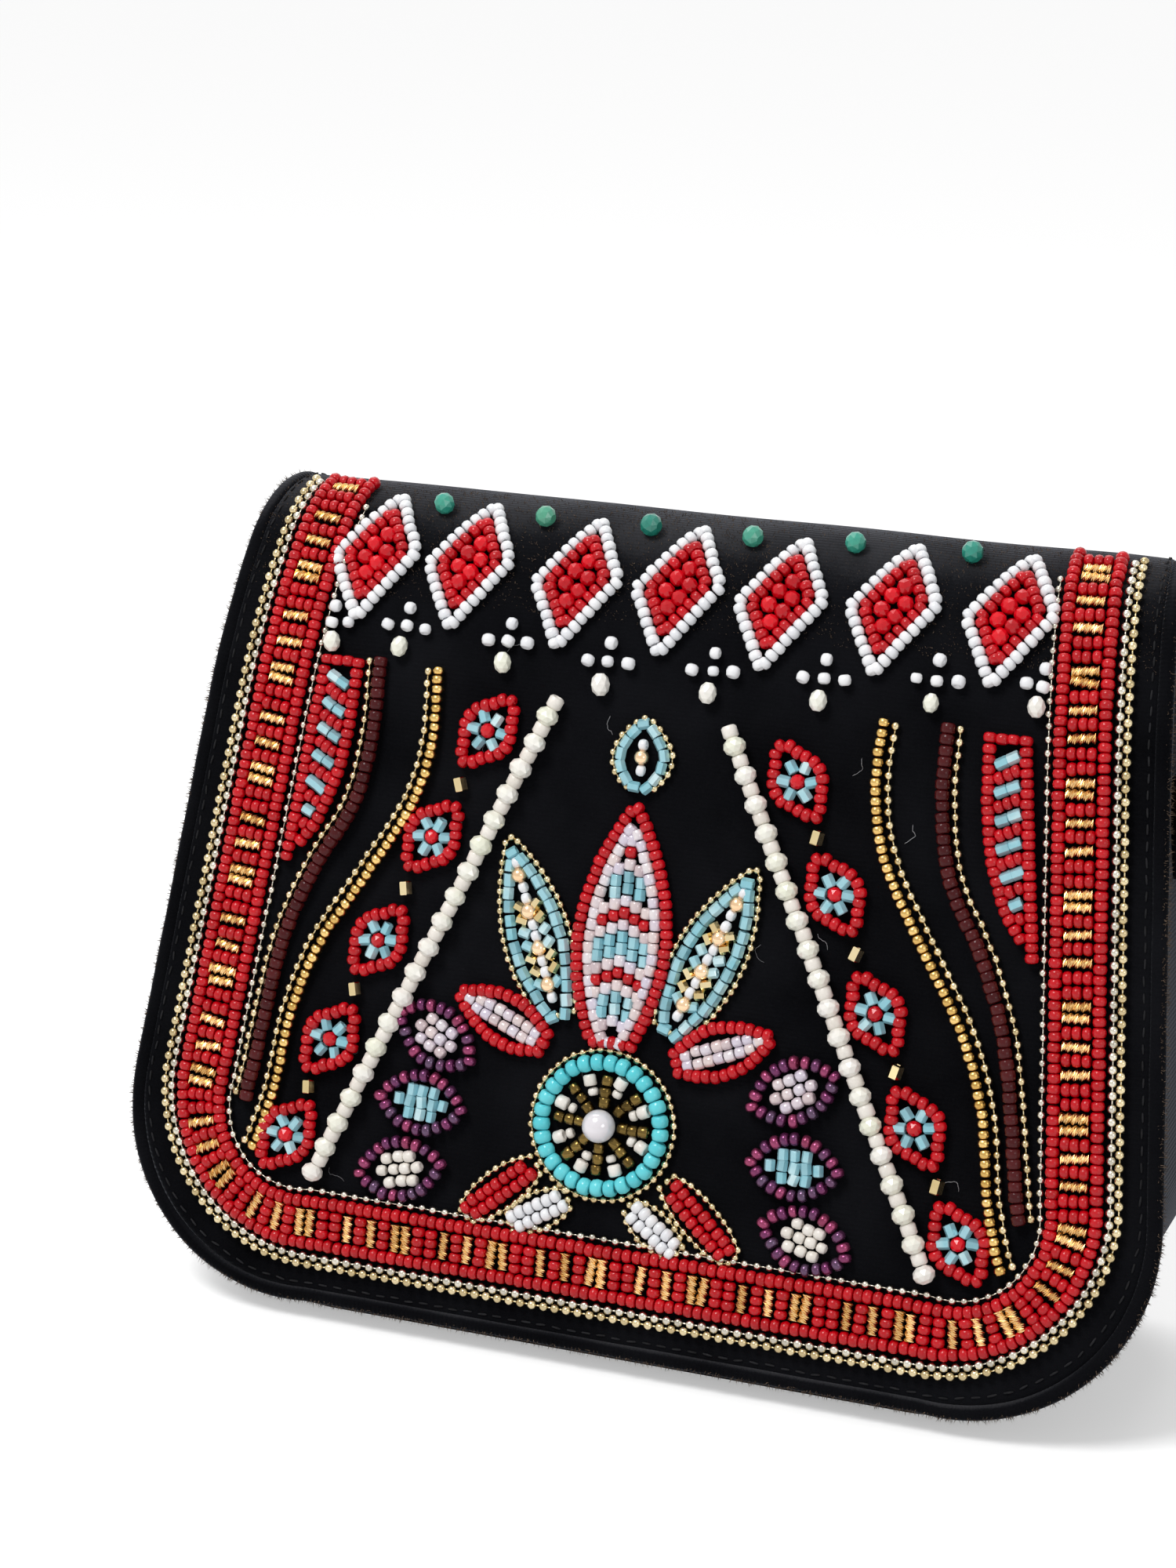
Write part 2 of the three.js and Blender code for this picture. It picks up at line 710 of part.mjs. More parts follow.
function gusset(side) {
  const stations = [];
  const cornerSteps = 8;
  const start = gap / 2 / bodyCorner;
  for (let i = 0; i <= cornerSteps; i++) {
    const turn = start + i / cornerSteps * (Math.PI / 2 - start);
    stations.push({ x: Math.sin(turn), z: -Math.cos(turn), level: bodyCorner, reach: bodyCorner });
  }
  const top = bodyLevels(0, mouthHeight).filter((level) => level > bodyCorner + 1);
  for (const level of top) {
    stations.push({ x: 1, z: 0, level, reach: bodyHalf(level, 0) - bodyHalfWidth + bodyCorner });
  }
  return shaped(1, stations.length - 1, 1, (x, row, z) => {
    const { x: across, z: down, level, reach } = stations[row];
    const inward = (side > 0) === (x > 0) ? 0 : wall;
    const height = level + down * (reach - inward);
    const half = bodyHalfWidth - bodyCorner + across * (reach - inward);
    return [side * half, z > 0 ? nearWall(height) : farWall, height];
  });
}

add('gusset_left', gusset(-1), 'velvet');
add('gusset_right', gusset(1), 'velvet');
const baseHalf = bodyHalfWidth - bodyCorner - gap / 2;
add('base_panel', block([0, wall], () => baseHalf, nearWall, () => farWall), 'velvet');

// Lining bag inside the walls
const liningOut = wall + gap;
const liningIn = liningOut + liningThickness;
const liningTop = mouthHeight - liningDrop;
const liningNear = frontDepth + 2 * (wall + gap) - wall;
const outerBag = block(
  bodyLevels(liningOut, liningTop),
  (z) => bodyHalf(z, liningOut),
  (z) => frontY(z, liningNear),
  () => backY - liningOut,
);
const innerBag = block(
  bodyLevels(liningIn, liningTop + 1),
  (z) => bodyHalf(z, liningIn),
  (z) => frontY(z, liningNear + liningThickness),
  () => backY - liningIn,
);
add('lining_bag', cut(outerBag, innerBag), 'lining');

// Slip pocket, open at the top, sewn to the back lining
const pocketBack = backY - liningIn - gap;
const pocketTop = pocketBottom + pocketHeight;
const pocketNear = pocketBack - pocketDepth - liningThickness;
const pocketShell = block(
  [pocketBottom, pocketTop],
  () => pocketWidth / 2,
  () => pocketNear,
  () => pocketBack,
);
const pocketHollow = block(
  [pocketBottom + liningThickness, pocketTop + 1],
  () => pocketWidth / 2 - liningThickness,
  () => pocketNear + liningThickness,
  () => pocketBack + 1,
);
add('slip_pocket', cut(pocketShell, pocketHollow), 'lining');

// Magnetic snap: a plate with a post on the flap and a ring that takes it on the front panel
function turned(points, segments) {
  return new THREE.LatheGeometry(points.map(([x, y]) => new THREE.Vector2(x, y)), segments);
}

const stud = turned([
  [0, -snapPostLength - gap],
  [snapPost, -snapPostLength - gap],
  [snapPost, 0],
  [snapRadius, 0],
  [snapRadius, snapPlate],
  [0, snapPlate],
], 18);
stud.rotateX(Math.PI / 2);
add('snap_stud', onFlap(stud, 0, snapHeight, -studTop - snapPlate), 'metal');
const socket = turned([
  [snapPost + snapPostPlay, 0],
  [snapRadius, 0],
  [snapRadius, snapPlate],
  [snapPost + snapPostPlay, snapPlate],
  [snapPost + snapPostPlay, 0],
], 18);
socket.rotateX(Math.PI / 2);
add('snap_socket', onFlap(socket, 0, snapHeight, -socketTop - snapPlate), 'metal');

// Strap ring: a straight bar and a bow that hangs from it
const eyeInner = ringWire + ringPlay;
const eyeOuter = eyeInner + tabStrap;
const eyeOut = gap + eyeOuter;

class Bow extends THREE.Curve {
  getPoint(share, target = new THREE.Vector3()) {
    const half = ringInnerWidth / 2 + ringWire;
    const drop = ringInnerDrop + 2 * ringWire;
    const turn = (share - 0.5) * Math.PI;
    const flat = Math.sign(Math.cos(turn)) * Math.abs(Math.cos(turn)) ** 0.7;
    return target.set(0, half * Math.sin(turn), -drop * flat);
  }
}

function strapRing() {
  const section = new THREE.Shape();
  section.absarc(0, 0, ringWire, 0, 2 * Math.PI);
  const bow = new THREE.ExtrudeGeometry(section, {
    steps: 16,
    curveSegments: 4,
    extrudePath: new Bow(),
    bevelEnabled: false,
  });
  const barLength = ringInnerWidth + 2 * ringWire;
  const bar = new THREE.CapsuleGeometry(ringWire * 1.02, barLength, 3, 8);
  return joined([bar, bow]);
}

// Tab: a strap that loops round the ring's bar and runs down the gusset
function strapTab() {
  const shape = new THREE.Shape();
  shape.moveTo(gap, -tabTail);
  shape.lineTo(gap + tabStrap, -tabTail);
  shape.lineTo(gap + tabStrap, -eyeOuter + 0.3);
  shape.absarc(eyeOut, 0, eyeOuter, -Math.PI * 0.64, Math.PI, false);
  shape.lineTo(gap, -tabTail);
  const eye = new THREE.Path();
  eye.absarc(eyeOut, 0, eyeInner, 0, 2 * Math.PI, true);
  shape.holes.push(eye);
  const tab = new THREE.ExtrudeGeometry(shape, {
    depth: tabWidth,
    bevelEnabled: false,
    curveSegments: 8,
  });
  tab.translate(0, 0, -tabWidth / 2);
  tab.rotateX(Math.PI / 2);
  return tab;
}

for (const [label, turn] of [['left', Math.PI], ['right', 0]]) {
  const side = new THREE.Group();
  side.position.y = (frontY(ringHeight, frontDepth) + backY) / 2;
  side.rotation.z = turn;
  const seat = new THREE.Group();
  seat.position.set(bodyHalf(ringHeight, 0), 0, ringHeight);
  seat.rotation.y = -Math.atan(sideTaper);
  side.add(seat);
  bag.add(side);
  add(`strap_tab_${label}`, strapTab(), 'velvet', seat);
  const hung = add(`strap_ring_${label}`, strapRing(), 'gold', seat);
  hung.position.x = eyeOut;
}

export default bag;
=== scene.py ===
"""Velvet evening bag with a beaded flap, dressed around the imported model."""
import bpy
import math
import numpy as np
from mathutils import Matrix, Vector


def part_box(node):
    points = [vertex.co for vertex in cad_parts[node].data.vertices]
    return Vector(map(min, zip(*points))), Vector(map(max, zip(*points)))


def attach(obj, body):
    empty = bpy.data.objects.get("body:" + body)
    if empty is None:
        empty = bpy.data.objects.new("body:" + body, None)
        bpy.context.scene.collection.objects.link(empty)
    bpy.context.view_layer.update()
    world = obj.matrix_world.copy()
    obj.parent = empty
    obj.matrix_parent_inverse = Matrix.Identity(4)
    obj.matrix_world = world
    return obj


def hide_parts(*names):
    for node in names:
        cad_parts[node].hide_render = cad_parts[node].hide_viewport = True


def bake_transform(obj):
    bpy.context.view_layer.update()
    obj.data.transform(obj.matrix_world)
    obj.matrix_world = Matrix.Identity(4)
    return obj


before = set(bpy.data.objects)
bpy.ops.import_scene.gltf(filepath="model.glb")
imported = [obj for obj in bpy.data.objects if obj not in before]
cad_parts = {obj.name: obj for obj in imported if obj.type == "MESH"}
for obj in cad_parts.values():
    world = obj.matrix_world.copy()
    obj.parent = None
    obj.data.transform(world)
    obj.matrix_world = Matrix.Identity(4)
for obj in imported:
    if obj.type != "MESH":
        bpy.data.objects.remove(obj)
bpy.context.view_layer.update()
rng = np.random.default_rng(11)
MM = 0.001
SIDES = (("left", -1), ("right", 1))

# Driving sizes in millimetres, as in the model: flap outline
CHAIN_HALF = 82.0
CHAIN_CORNER = 29.0
SIDE_TAPER = 0.1
EDGE_MARGIN = 6.0
FLAP_LIFT = 3.5
# Side profile of the flap
FLAP_LEAN = math.radians(14)
FACE_LENGTH = 93.0
EASY_RADIUS = 87.0
EASY_TURN = math.radians(18)
BROW_RADIUS = 17.0
REAR_RADIUS = 11.0
REAR_DROP = 4.85
# Cloth, board and body
BOARD = 2.6
LINING = 0.6
WELT = 1.3
GAP = 0.3
BODY_HALF = 84.0
BODY_CORNER = 34.0
MOUTH = 112.0
# Snap, strap rings and tabs
SNAP_HEIGHT = 24.0
SNAP_RADIUS = 7.0
SNAP_PLATE = 1.2
SNAP_POST = 2.4
RING_HEIGHT = 98.0
RING_WIRE = 1.0
RING_WIDTH = 12.0
RING_DROP = 9.0
TAB_WIDTH = 9.0
TAB_TAIL = 15.0
TAB_STRAP = 1.2
RING_PLAY = 0.4
# Border rows, measured inward from the flap's chain line
OUTER_CHAIN = 0.5
NEST = 1.32
FACE_MIDDLE = np.array([0.0, 70.0])
OUTER_RAIL = 4.0
BARS_MIDDLE = 7.5
INNER_RAIL = 11.0
INNER_CHAIN = 12.9
BAND_TOP = 135.0
INNER_TOP = 128.0
CORNER_PINCH = 0.13
# Gold bars and red rows along the band, from the middle of a pair of bars
BAR_PERIOD = 17.2
BAND_ORDER = [("bar", -0.95), ("bar", 0.95), ("row", 3.1), ("row", 5.35), ("bar", 7.65), ("row", 9.85),
              ("bar", 11.95), ("row", 14.1)]
FIRST_DOUBLE = 19.6
LAST_DOUBLE = 5.5
END_ROWS = 3.0
BAND_END = 1.3
ROW_STEP = 1.56
# Cloth over the boards
COVER_OUT = EDGE_MARGIN - 2 * WELT + 0.7
LINING_INSET = 2.2
FLAP_SWELL = 0.35
CORNER_SWELL = 2.2
STITCH_LINE = 2.7
HAIR_RADIUS = 0.075
EDGE_HAIRS = 4200
BROW_HAIRS = 6500
LINT_COUNT = 16

BROW_TURN = math.pi / 2 - FLAP_LEAN - EASY_TURN
STRETCHES = [
    (FACE_LENGTH, 0.0),
    (EASY_RADIUS * EASY_TURN, EASY_TURN),
    (BROW_RADIUS * BROW_TURN, BROW_TURN),
    (REAR_RADIUS * math.pi / 2, math.pi / 2),
    (REAR_DROP, 0.0),
]
FLAP_END = sum(length for length, turn in STRETCHES)
DROP_START = FLAP_END - REAR_DROP


def profile(v):
    """Run, rise and lean of the flap's side profile at the distances v from the bottom chain."""
    rest = np.array(v, float)
    angle = np.full(rest.shape, FLAP_LEAN)
    run = np.zeros(rest.shape)
    rise = np.zeros(rest.shape)
    for length, turn in STRETCHES:
        part = np.minimum(rest, length)
        after = angle + turn * part / length
        if turn == 0:
            run += part * np.sin(angle)
            rise += part * np.cos(angle)
        else:
            run += length / turn * (np.cos(angle) - np.cos(after))
            rise += length / turn * (np.sin(after) - np.sin(angle))
        angle = after
        rest = rest - part
    return run, rise, angle


BACK_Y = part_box("back_panel")[1].y / MM
CHAIN_RISE = FLAP_LIFT + EDGE_MARGIN * math.cos(FLAP_LEAN)
CHAIN_Y = BACK_Y - float(profile(FLAP_END)[0])
HINGE_Z = CHAIN_RISE + float(profile(FLAP_END)[1]) - GAP / 2
FLAP_DEPTH = BOARD + GAP + LINING + GAP
SOCKET_DEPTH = FLAP_DEPTH + 2 * SNAP_PLATE + GAP
FRONT_DEPTH = SOCKET_DEPTH + GAP
INSIDE_FRONT = FRONT_DEPTH + BOARD + GAP
INSIDE_BACK = BACK_Y - BOARD - GAP


def unit(vectors):
    return vectors / np.linalg.norm(vectors, axis=1)[:, None]


def place(u, v, h):
    """Points in millimetres from flap places: u across, v up along the velvet, h outward."""
    run, rise, angle = profile(v)
    u, h = np.broadcast_arrays(np.asarray(u, float), np.asarray(h, float))
    y = CHAIN_Y + run - h * np.cos(angle)
    z = CHAIN_RISE + rise + h * np.sin(angle)
    return np.stack([u + 0 * run, y, z], axis=-1)


def up_and_out(v):
    """Directions up along the velvet and outward from it at the distances v."""
    angle = profile(v)[2]
    run, rise, flat = np.sin(angle), np.cos(angle), 0 * angle
    return np.stack([flat, run, rise], 1), np.stack([flat, -rise, run], 1)


def half_width(level, outside, half, corner):
    """Half width at a level of an outline with round lower corners and tapered sides."""
    level = np.asarray(level, float)
    straight = half + outside - SIDE_TAPER * (level - corner)
    reach = (corner + outside) ** 2 - (corner - level) ** 2
    return np.where(level > corner, straight, half - corner + np.sqrt(np.maximum(reach, 0)))


def edge_distance(across, level, outside, half, corner):
    """How far a place lies inside such an outline."""
    side = half_width(np.maximum(level, corner), outside, half, corner) - np.abs(across)
    sideways = np.maximum(np.abs(across) - (half - corner), 0)
    rounded = (corner + outside) - np.hypot(sideways, np.maximum(corner - level, 0))
    return np.maximum(np.where(level < corner, np.minimum(rounded, side), side), 0)


def flap_half(v, outside):
    """Half width of the flap at v, the given distance outside its chain line."""
    return half_width(v, outside, CHAIN_HALF, CHAIN_CORNER)


def body_half(z):
    """Half width of the body at height z."""
    return half_width(z, 0, BODY_HALF, BODY_CORNER)


def corner_swell(u, v):
    """Padding pushes the rolled edge out at the two lower corners: the shift across and up."""
    side = np.maximum(np.abs(u) - (CHAIN_HALF - CHAIN_CORNER), 0)
    down = np.maximum(CHAIN_CORNER - v, 0)
    distance = np.hypot(side, down) + 1e-9
    diagonal = 2 * side * down / distance ** 2
    grow = CORNER_SWELL * diagonal * np.clip((distance - CHAIN_CORNER) / EDGE_MARGIN, 0, 1)
    return np.sign(u) * grow * side / distance, -grow * down / distance


def swollen(places):
    return places + np.stack(corner_swell(places[:, 0], places[:, 1]), 1)


def front_y(z, depth):
    """Y of the surface that lies the given depth under the flap's face, at height z."""
    bend = place(0, FACE_LENGTH, -depth)
    middle = place(0, FACE_LENGTH, -EASY_RADIUS)
    low = bend[1] - (bend[2] - z) * math.tan(FLAP_LEAN)
    high = middle[1] - np.sqrt((EASY_RADIUS - depth) ** 2 - (z - middle[2]) ** 2)
    return np.where(z < bend[2], low, high)


def add_object(name, data):
    piece = bpy.data.objects.new(name, data)
    bpy.context.scene.collection.objects.link(piece)
    return piece


# Camera at the photograph's place
def make_camera():
    data = bpy.data.cameras.new("camera")
    data.lens = 85
    data.sensor_width = 36
    camera = add_object("camera", data)
    camera.location = (0.1885, -0.5490, 0.2568)
    camera.rotation_euler = [math.radians(turn) for turn in (74.011, -1.321, 20.864)]
    bpy.context.scene.camera = camera


make_camera()

# Materials
COAT_ROUGHNESS = 0.07


def put(node, **values):
    """Sets a node's inputs; an underscore stands for a space in an input's name."""
    for key, value in values.items():
        node.inputs[key.replace("_", " ")].default_value = value


class Nodes:
    """Short ways to add and join the nodes of a material or the world."""

    def __init__(self, owner):
        self.tree = owner.node_tree

    def add(self, kind, **values):
        node = self.tree.nodes.new("ShaderNode" + kind)
        for key, value in values.items():
            setattr(node, key, value)
        return node

    def link(self, source, target):
        self.tree.links.new(source, target)

    def calc(self, operation, first, second):
        node = self.add("Math", operation=operation)
        for socket, value in zip(node.inputs, (first, second)):
            if isinstance(value, (int, float)):
                socket.default_value = value
            else:
                self.link(value, socket)
        return node.outputs[0]

    def times(self, first, second):
        return self.calc("MULTIPLY", first, second)

    def plus(self, first, second):
        return self.calc("ADD", first, second)

    def grain(self, scale, detail=2.0):
        """Noise in the object's own space; the scale is in waves for each metre."""
        noise = self.add("TexNoise")
        put(noise, Scale=scale, Detail=detail)
        self.link(self.add("TexCoord").outputs["Object"], noise.inputs["Vector"])
        return noise.outputs["Fac"]

    def ranged(self, value, **limits):
        node = self.add("MapRange")
        put(node, **limits)
        self.link(value, node.inputs["Value"])
        return node.outputs["Result"]

    def shown_white(self):
        """One where a camera, glossy or transmission ray arrives, else nought."""
        rays = self.add("LightPath").outputs
        total = rays["Is Camera Ray"]
        for kind in ("Is Glossy Ray", "Is Transmission Ray"):
            total = self.calc("MAXIMUM", total, rays[kind])
        return total


class Look(Nodes):
    """A material with one Principled shader and short ways to set it up."""

    def __init__(self, name, colour, roughness, metallic=0.0, coat=0.0, gloss=0.5):
        self.material = bpy.data.materials.new(name)
        self.material.use_nodes = True
        super().__init__(self.material)
        self.shader = self.tree.nodes["Principled BSDF"]
        put(self.shader, Base_Color=(*colour, 1), Roughness=roughness, Metallic=metallic, Coat_Weight=coat)
        put(self.shader, Coat_Roughness=COAT_ROUGHNESS, Specular_IOR_Level=gloss)

    def colour(self, factor, *stops):
        """Base colour from a factor through a ramp of (position, colour) stops."""
        node = self.add("ValToRGB")
        points = node.color_ramp.elements
        while len(points) < len(stops):
            points.new(0.5)
        for point, (position, colour) in zip(points, stops):
            point.position = position
            point.color = (*colour, 1)
        self.link(factor, node.inputs["Fac"])
        self.link(node.outputs["Color"], self.shader.inputs["Base Color"])

    def rough(self, scale, detail, roughness, low, high):
        """Roughness that wanders between two shares of its value."""
        limits = {"To_Min": roughness * low, "To_Max": roughness * high}
        self.link(self.ranged(self.grain(scale, detail), **limits), self.shader.inputs["Roughness"])

    def bump(self, height, strength, distance):
        node = self.add("Bump")
        put(node, Strength=strength, Distance=distance * MM)
        self.link(height, node.inputs["Height"])
        self.link(node.outputs["Normal"], self.shader.inputs["Normal"])


def bead_look(slot, name, colours, roughness=0.16, metallic=0.0, coat=0.0, mottle=900, gloss=0.5):
    """Beads whose colour changes from one to the next and slightly within each."""
    look = Look(name, colours[0], roughness, metallic, coat, gloss)
    within = look.times(look.grain(mottle), 0.3)
    between = look.times(look.add("NewGeometry").outputs["Random Per Island"], 0.85)
    factor = look.plus(between, look.calc("SUBTRACT", within, 0.07))
    count = len(colours)
    look.colour(factor, *[(i / max(count - 1, 1), colour) for i, colour in enumerate(colours)])
    look.rough(mottle * 1.7, 2.0, roughness, 0.75, 1.35)
    return look.material, slot


def velvet_material():
    """Black pile with faint ribs, patches that differ at random in tone, painted light on faces that point
    upward, and a cool sheen.
    """
    look = Look("velvet", (0.004, 0.004, 0.005), 0.95, gloss=0.0)
    put(look.shader, Sheen_Weight=0.55, Sheen_Roughness=0.3, Sheen_Tint=(0.68, 0.71, 0.8, 1))
    cloth = look.add("Attribute", attribute_name="cloth")
    parts = look.add("SeparateXYZ")
    look.link(cloth.outputs["Vector"], parts.inputs["Vector"])
    rib_pitch = 0.75
    wander = look.times(look.grain(160), 1.2)
    turn = look.times(parts.outputs["Y"], 2 * math.pi / rib_pitch)
    ribs = look.calc("SINE", look.plus(turn, wander), 0)
    pile = look.grain(3800, 3)
    look.bump(look.plus(look.times(ribs, 0.3), pile), 0.55, 0.14)
    # Painted light: faces that point upward get a lighter colour, standing in for light falling on the brow
    # from above.
    facing = look.add("SeparateXYZ")
    look.link(look.add("TexCoord").outputs["Normal"], facing.inputs["Vector"])
    painted_top_light = look.ranged(facing.outputs["Z"], From_Min=0.5, From_Max=1.0, To_Max=0.5)
    patches = look.times(look.plus(look.grain(45, 4), look.times(pile, 0.35)), 0.7)
    dark, plain, lit = (0.0016, 0.0016, 0.0020), (0.0075, 0.0078, 0.0095), (0.040, 0.040, 0.044)
    look.colour(look.plus(patches, painted_top_light), (0.25, dark), (0.66, plain), (1.0, lit))
    return look.material


def satin_material():
    """Dark lining cloth with a fine diagonal weave."""
    look = Look("satin", (0.012, 0.010, 0.011), 0.5, gloss=0.25)
    put(look.shader, Sheen_Weight=0.04)
    wave = look.add("TexWave", bands_direction="DIAGONAL")
    put(wave, Scale=700, Distortion=1.5)
    look.link(look.add("TexCoord").outputs["Object"], wave.inputs["Vector"])
    look.bump(wave.outputs["Fac"], 0.35, 0.08)
    look.colour(look.grain(60, 4), (0.3, (0.009, 0.008, 0.009)), (0.8, (0.022, 0.019, 0.021)))
    return look.material


def metal_material(name, colour, roughness):
    """Plated metal with faint scratches and duller patches."""
    look = Look(name, colour, roughness, 1.0)
    look.rough(350, 6, roughness, 0.7, 1.5)
    look.colour(look.grain(180, 3), (0.35, tuple(channel * 0.82 for channel in colour)), (0.65, colour))
    look.bump(look.grain(2600, 2), 0.08, 0.05)
    return look.material


# Looks: a material and the slot that goes with it
VELVET = (velvet_material(), "velvet")
SATIN = (satin_material(), "lining")
SNAP_METAL = (metal_material("brass", (0.80, 0.55, 0.24), 0.22), "snap_metal")
RING_METAL = (SNAP_METAL[0], "ring_metal")
GOLD_BALL = bead_look("gold_chain", "gold_ball", [(0.40, 0.31, 0.16), (0.70, 0.59, 0.37)], 0.22, 1.0)
PALE_BALL = bead_look("pale_chain", "pale_ball", [(0.38, 0.35, 0.29), (0.66, 0.62, 0.53)], 0.22, 1.0)
GOLD_WIRE = bead_look("gold_bead", "gold_wire", [(0.54, 0.32, 0.11), (0.90, 0.64, 0.32)], 0.24, 1.0)
GOLD_SEED = bead_look("gold_bead", "gold_seed", [(0.46, 0.27, 0.07), (0.76, 0.52, 0.19)], 0.22, 1.0)
GOLD_PEARL = bead_look("gold_bead", "gold_pearl", [(0.78, 0.52, 0.30), (0.88, 0.64, 0.42)], 0.2, 0.9)
GOLD_CUBE = bead_look("gold_bead", "gold_cube", [(0.60, 0.45, 0.20), (0.84, 0.70, 0.42)], 0.12, 1.0)
RED = bead_look("red_bead", "red_glass", [(0.41, 0.001, 0.005), (0.57, 0.002, 0.009)], 0.18, gloss=0.32)
RED_CUT = bead_look("red_bead", "red_cut", [(0.42, 0.001, 0.006), (0.76, 0.004, 0.014)], 0.09, gloss=0.32)
WHITE = bead_look("white_bead", "white_glass", [(0.76, 0.77, 0.80), (0.87, 0.87, 0.88)], 0.15, gloss=0.45)
MAROON = bead_look(
    "maroon_bead", "maroon_glass", [(0.045, 0.003, 0.004), (0.085, 0.008, 0.009)], 0.14, gloss=0.17
)
AQUA = bead_look(
    "aqua_bugle", "aqua_glass",
    [(0.17, 0.38, 0.44), (0.34, 0.60, 0.67), (0.22, 0.52, 0.60), (0.66, 0.83, 0.85)], 0.12, 0.15, 0.2, 500,
)
TURQUOISE = bead_look(
    "turquoise_bead", "turquoise_glass", [(0.08, 0.57, 0.64), (0.14, 0.69, 0.75)], 0.14, gloss=0.4
)
LILAC = bead_look(
    "lilac_bead", "lilac_glass",
    [(0.46, 0.36, 0.40), (0.72, 0.60, 0.58), (0.62, 0.56, 0.66), (0.80, 0.74, 0.72)], 0.14, 0.1, 0.3, 700,
)
PLUM = bead_look(
    "plum_bead", "plum_lustre",
    [(0.16, 0.015, 0.045), (0.30, 0.045, 0.12), (0.13, 0.022, 0.09), (0.10, 0.07, 0.12)],
    0.16, 0.6, 0.0, 800,
)
BRONZE = bead_look("bronze_bead", "bronze_lustre", [(0.06, 0.038, 0.010), (0.19, 0.125, 0.035)], 0.17, 0.95)
CREAM = bead_look(
    "cream_bead", "cream_cut",
    [(0.78, 0.75, 0.68), (0.87, 0.84, 0.79), (0.80, 0.81, 0.66), (0.89, 0.86, 0.84)], 0.12, 0.05, 0.4, 450,
)
IVORY = bead_look("ivory_bead", "ivory_glass", [(0.74, 0.69, 0.62), (0.85, 0.81, 0.75)], 0.26)
GREEN = bead_look(
    "green_bead", "green_stone", [(0.012, 0.18, 0.13), (0.03, 0.31, 0.23), (0.09, 0.34, 0.21)],
    0.16, 0.0, 0.0, 600,
)
PEARL = bead_look("pearl", "pearl_lustre", [(0.72, 0.69, 0.73), (0.80, 0.77, 0.80)], 0.16, 0.1, 0.8)
THREAD = bead_look("velvet", "thread", [(0.007, 0.007, 0.008), (0.014, 0.014, 0.016)], 0.8, gloss=0.2)
# The pile's brownish tan is painted backlight on the black velvet's hairs, not their own colour.
PILE_PAINTED_BACKLIGHT = bead_look("velvet", "pile", [(0.03, 0.022, 0.018), (0.17, 0.12, 0.085)], 0.9, gloss=0.1)
LINT = bead_look("velvet", "lint", [(0.10, 0.10, 0.11), (0.45, 0.45, 0.47)], 0.8, gloss=0.2)
HEM_THREAD = (THREAD[0], "lining")


# Meshes from arrays
def make(name, material, points, loops, sizes, smooth=True, cloth=None):
    """One mesh piece, with points in millimetres."""
    sizes = np.asarray(sizes)
    mesh = bpy.data.meshes.new(name)
    mesh.vertices.add(len(points))
    mesh.vertices.foreach_set("co", (np.asarray(points) * MM).astype(np.float32).ravel())
    mesh.loops.add(len(loops))
    mesh.loops.foreach_set("vertex_index", np.asarray(loops, np.int32))
    mesh.polygons.add(len(sizes))
    starts = np.concatenate([[0], np.cumsum(sizes)[:-1]])
    mesh.polygons.foreach_set("loop_start", starts.astype(np.int32))
    flags = np.broadcast_to(np.asarray(smooth, bool), (len(sizes),))
    mesh.polygons.foreach_set("use_smooth", flags.copy())
    if cloth is not None:
        layer = mesh.attributes.new("cloth", "FLOAT_VECTOR", "POINT")
        flat = np.zeros((len(points), 3), np.float32)
        flat[:, :2] = cloth
        layer.data.foreach_set("vector", flat.ravel())
    mesh.update(calc_edges=True)
    mesh.validate()
    mesh.materials.append(material)
    return add_object(name, mesh)


def settle(piece, body, slot, *nodes):
    """Puts a piece on its body and hides the model nodes that it stands for; the slot for its finish is not
    used.
    """
    if body:
        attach(piece, body)
    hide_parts(*nodes)
    return piece


class Shape:
    """A closed form whose polygons face outward; a bead's form also has its height above the velvet."""

    def __init__(self, points, polygons, smooth):
        self.points = np.array(points, float)
        self.high = 0.0
        volume = 0.0
        for polygon in polygons:
            first = self.points[polygon[0]]
            for i in range(1, len(polygon) - 1):
                second, third = self.points[polygon[i]], self.points[polygon[i + 1]]
                volume += np.dot(first, np.cross(second, third))
        if volume < 0:
            polygons = [polygon[::-1] for polygon in polygons]
        self.loops = np.array([index for polygon in polygons for index in polygon])
        self.sizes = np.array([len(polygon) for polygon in polygons])
        self.smooth = smooth

    def resting(self, high):
        self.high = high
        return self


def mirrored(*half):
    """An outline of (radius, z) points from its upper half."""
    return [*half, *[(radius, -z) for radius, z in half[::-1] if z]]


def turned(outline, sides, smooth=True, ring=False, twist=0.0, lobes=0, lobe_depth=0.0):
    """A form turned round z from (radius, z) points; a ring's outline closes on itself."""
    points, rings = [], []
    last = len(outline) - 1
    for k, (radius, z) in enumerate(outline):
        if radius == 0:
            rings.append([len(points)] * sides)
            points.append((0, 0, z))
            continue
        rings.append(list(range(len(points), len(points) + sides)))
        for i in range(sides):
            angle = 2 * math.pi * i / sides + twist * k / last
            wavy = radius * (1 + lobe_depth * math.cos(lobes * 2 * math.pi * i / sides))
            points.append((wavy * math.cos(angle), wavy * math.sin(angle), z))
    polygons = []
    for k in range(len(outline) if ring else last):
        here, there = rings[k], rings[(k + 1) % len(outline)]
        for i in range(sides):
            j = (i + 1) % sides
            polygon = [here[i], there[i], there[j], here[j]]
            if here[i] == here[j]:
                polygon = [here[i], there[i], there[j]]
            elif there[i] == there[j]:
                polygon = [here[i], there[i], here[j]]
            polygons.append(polygon)
    return Shape(points, polygons, smooth)


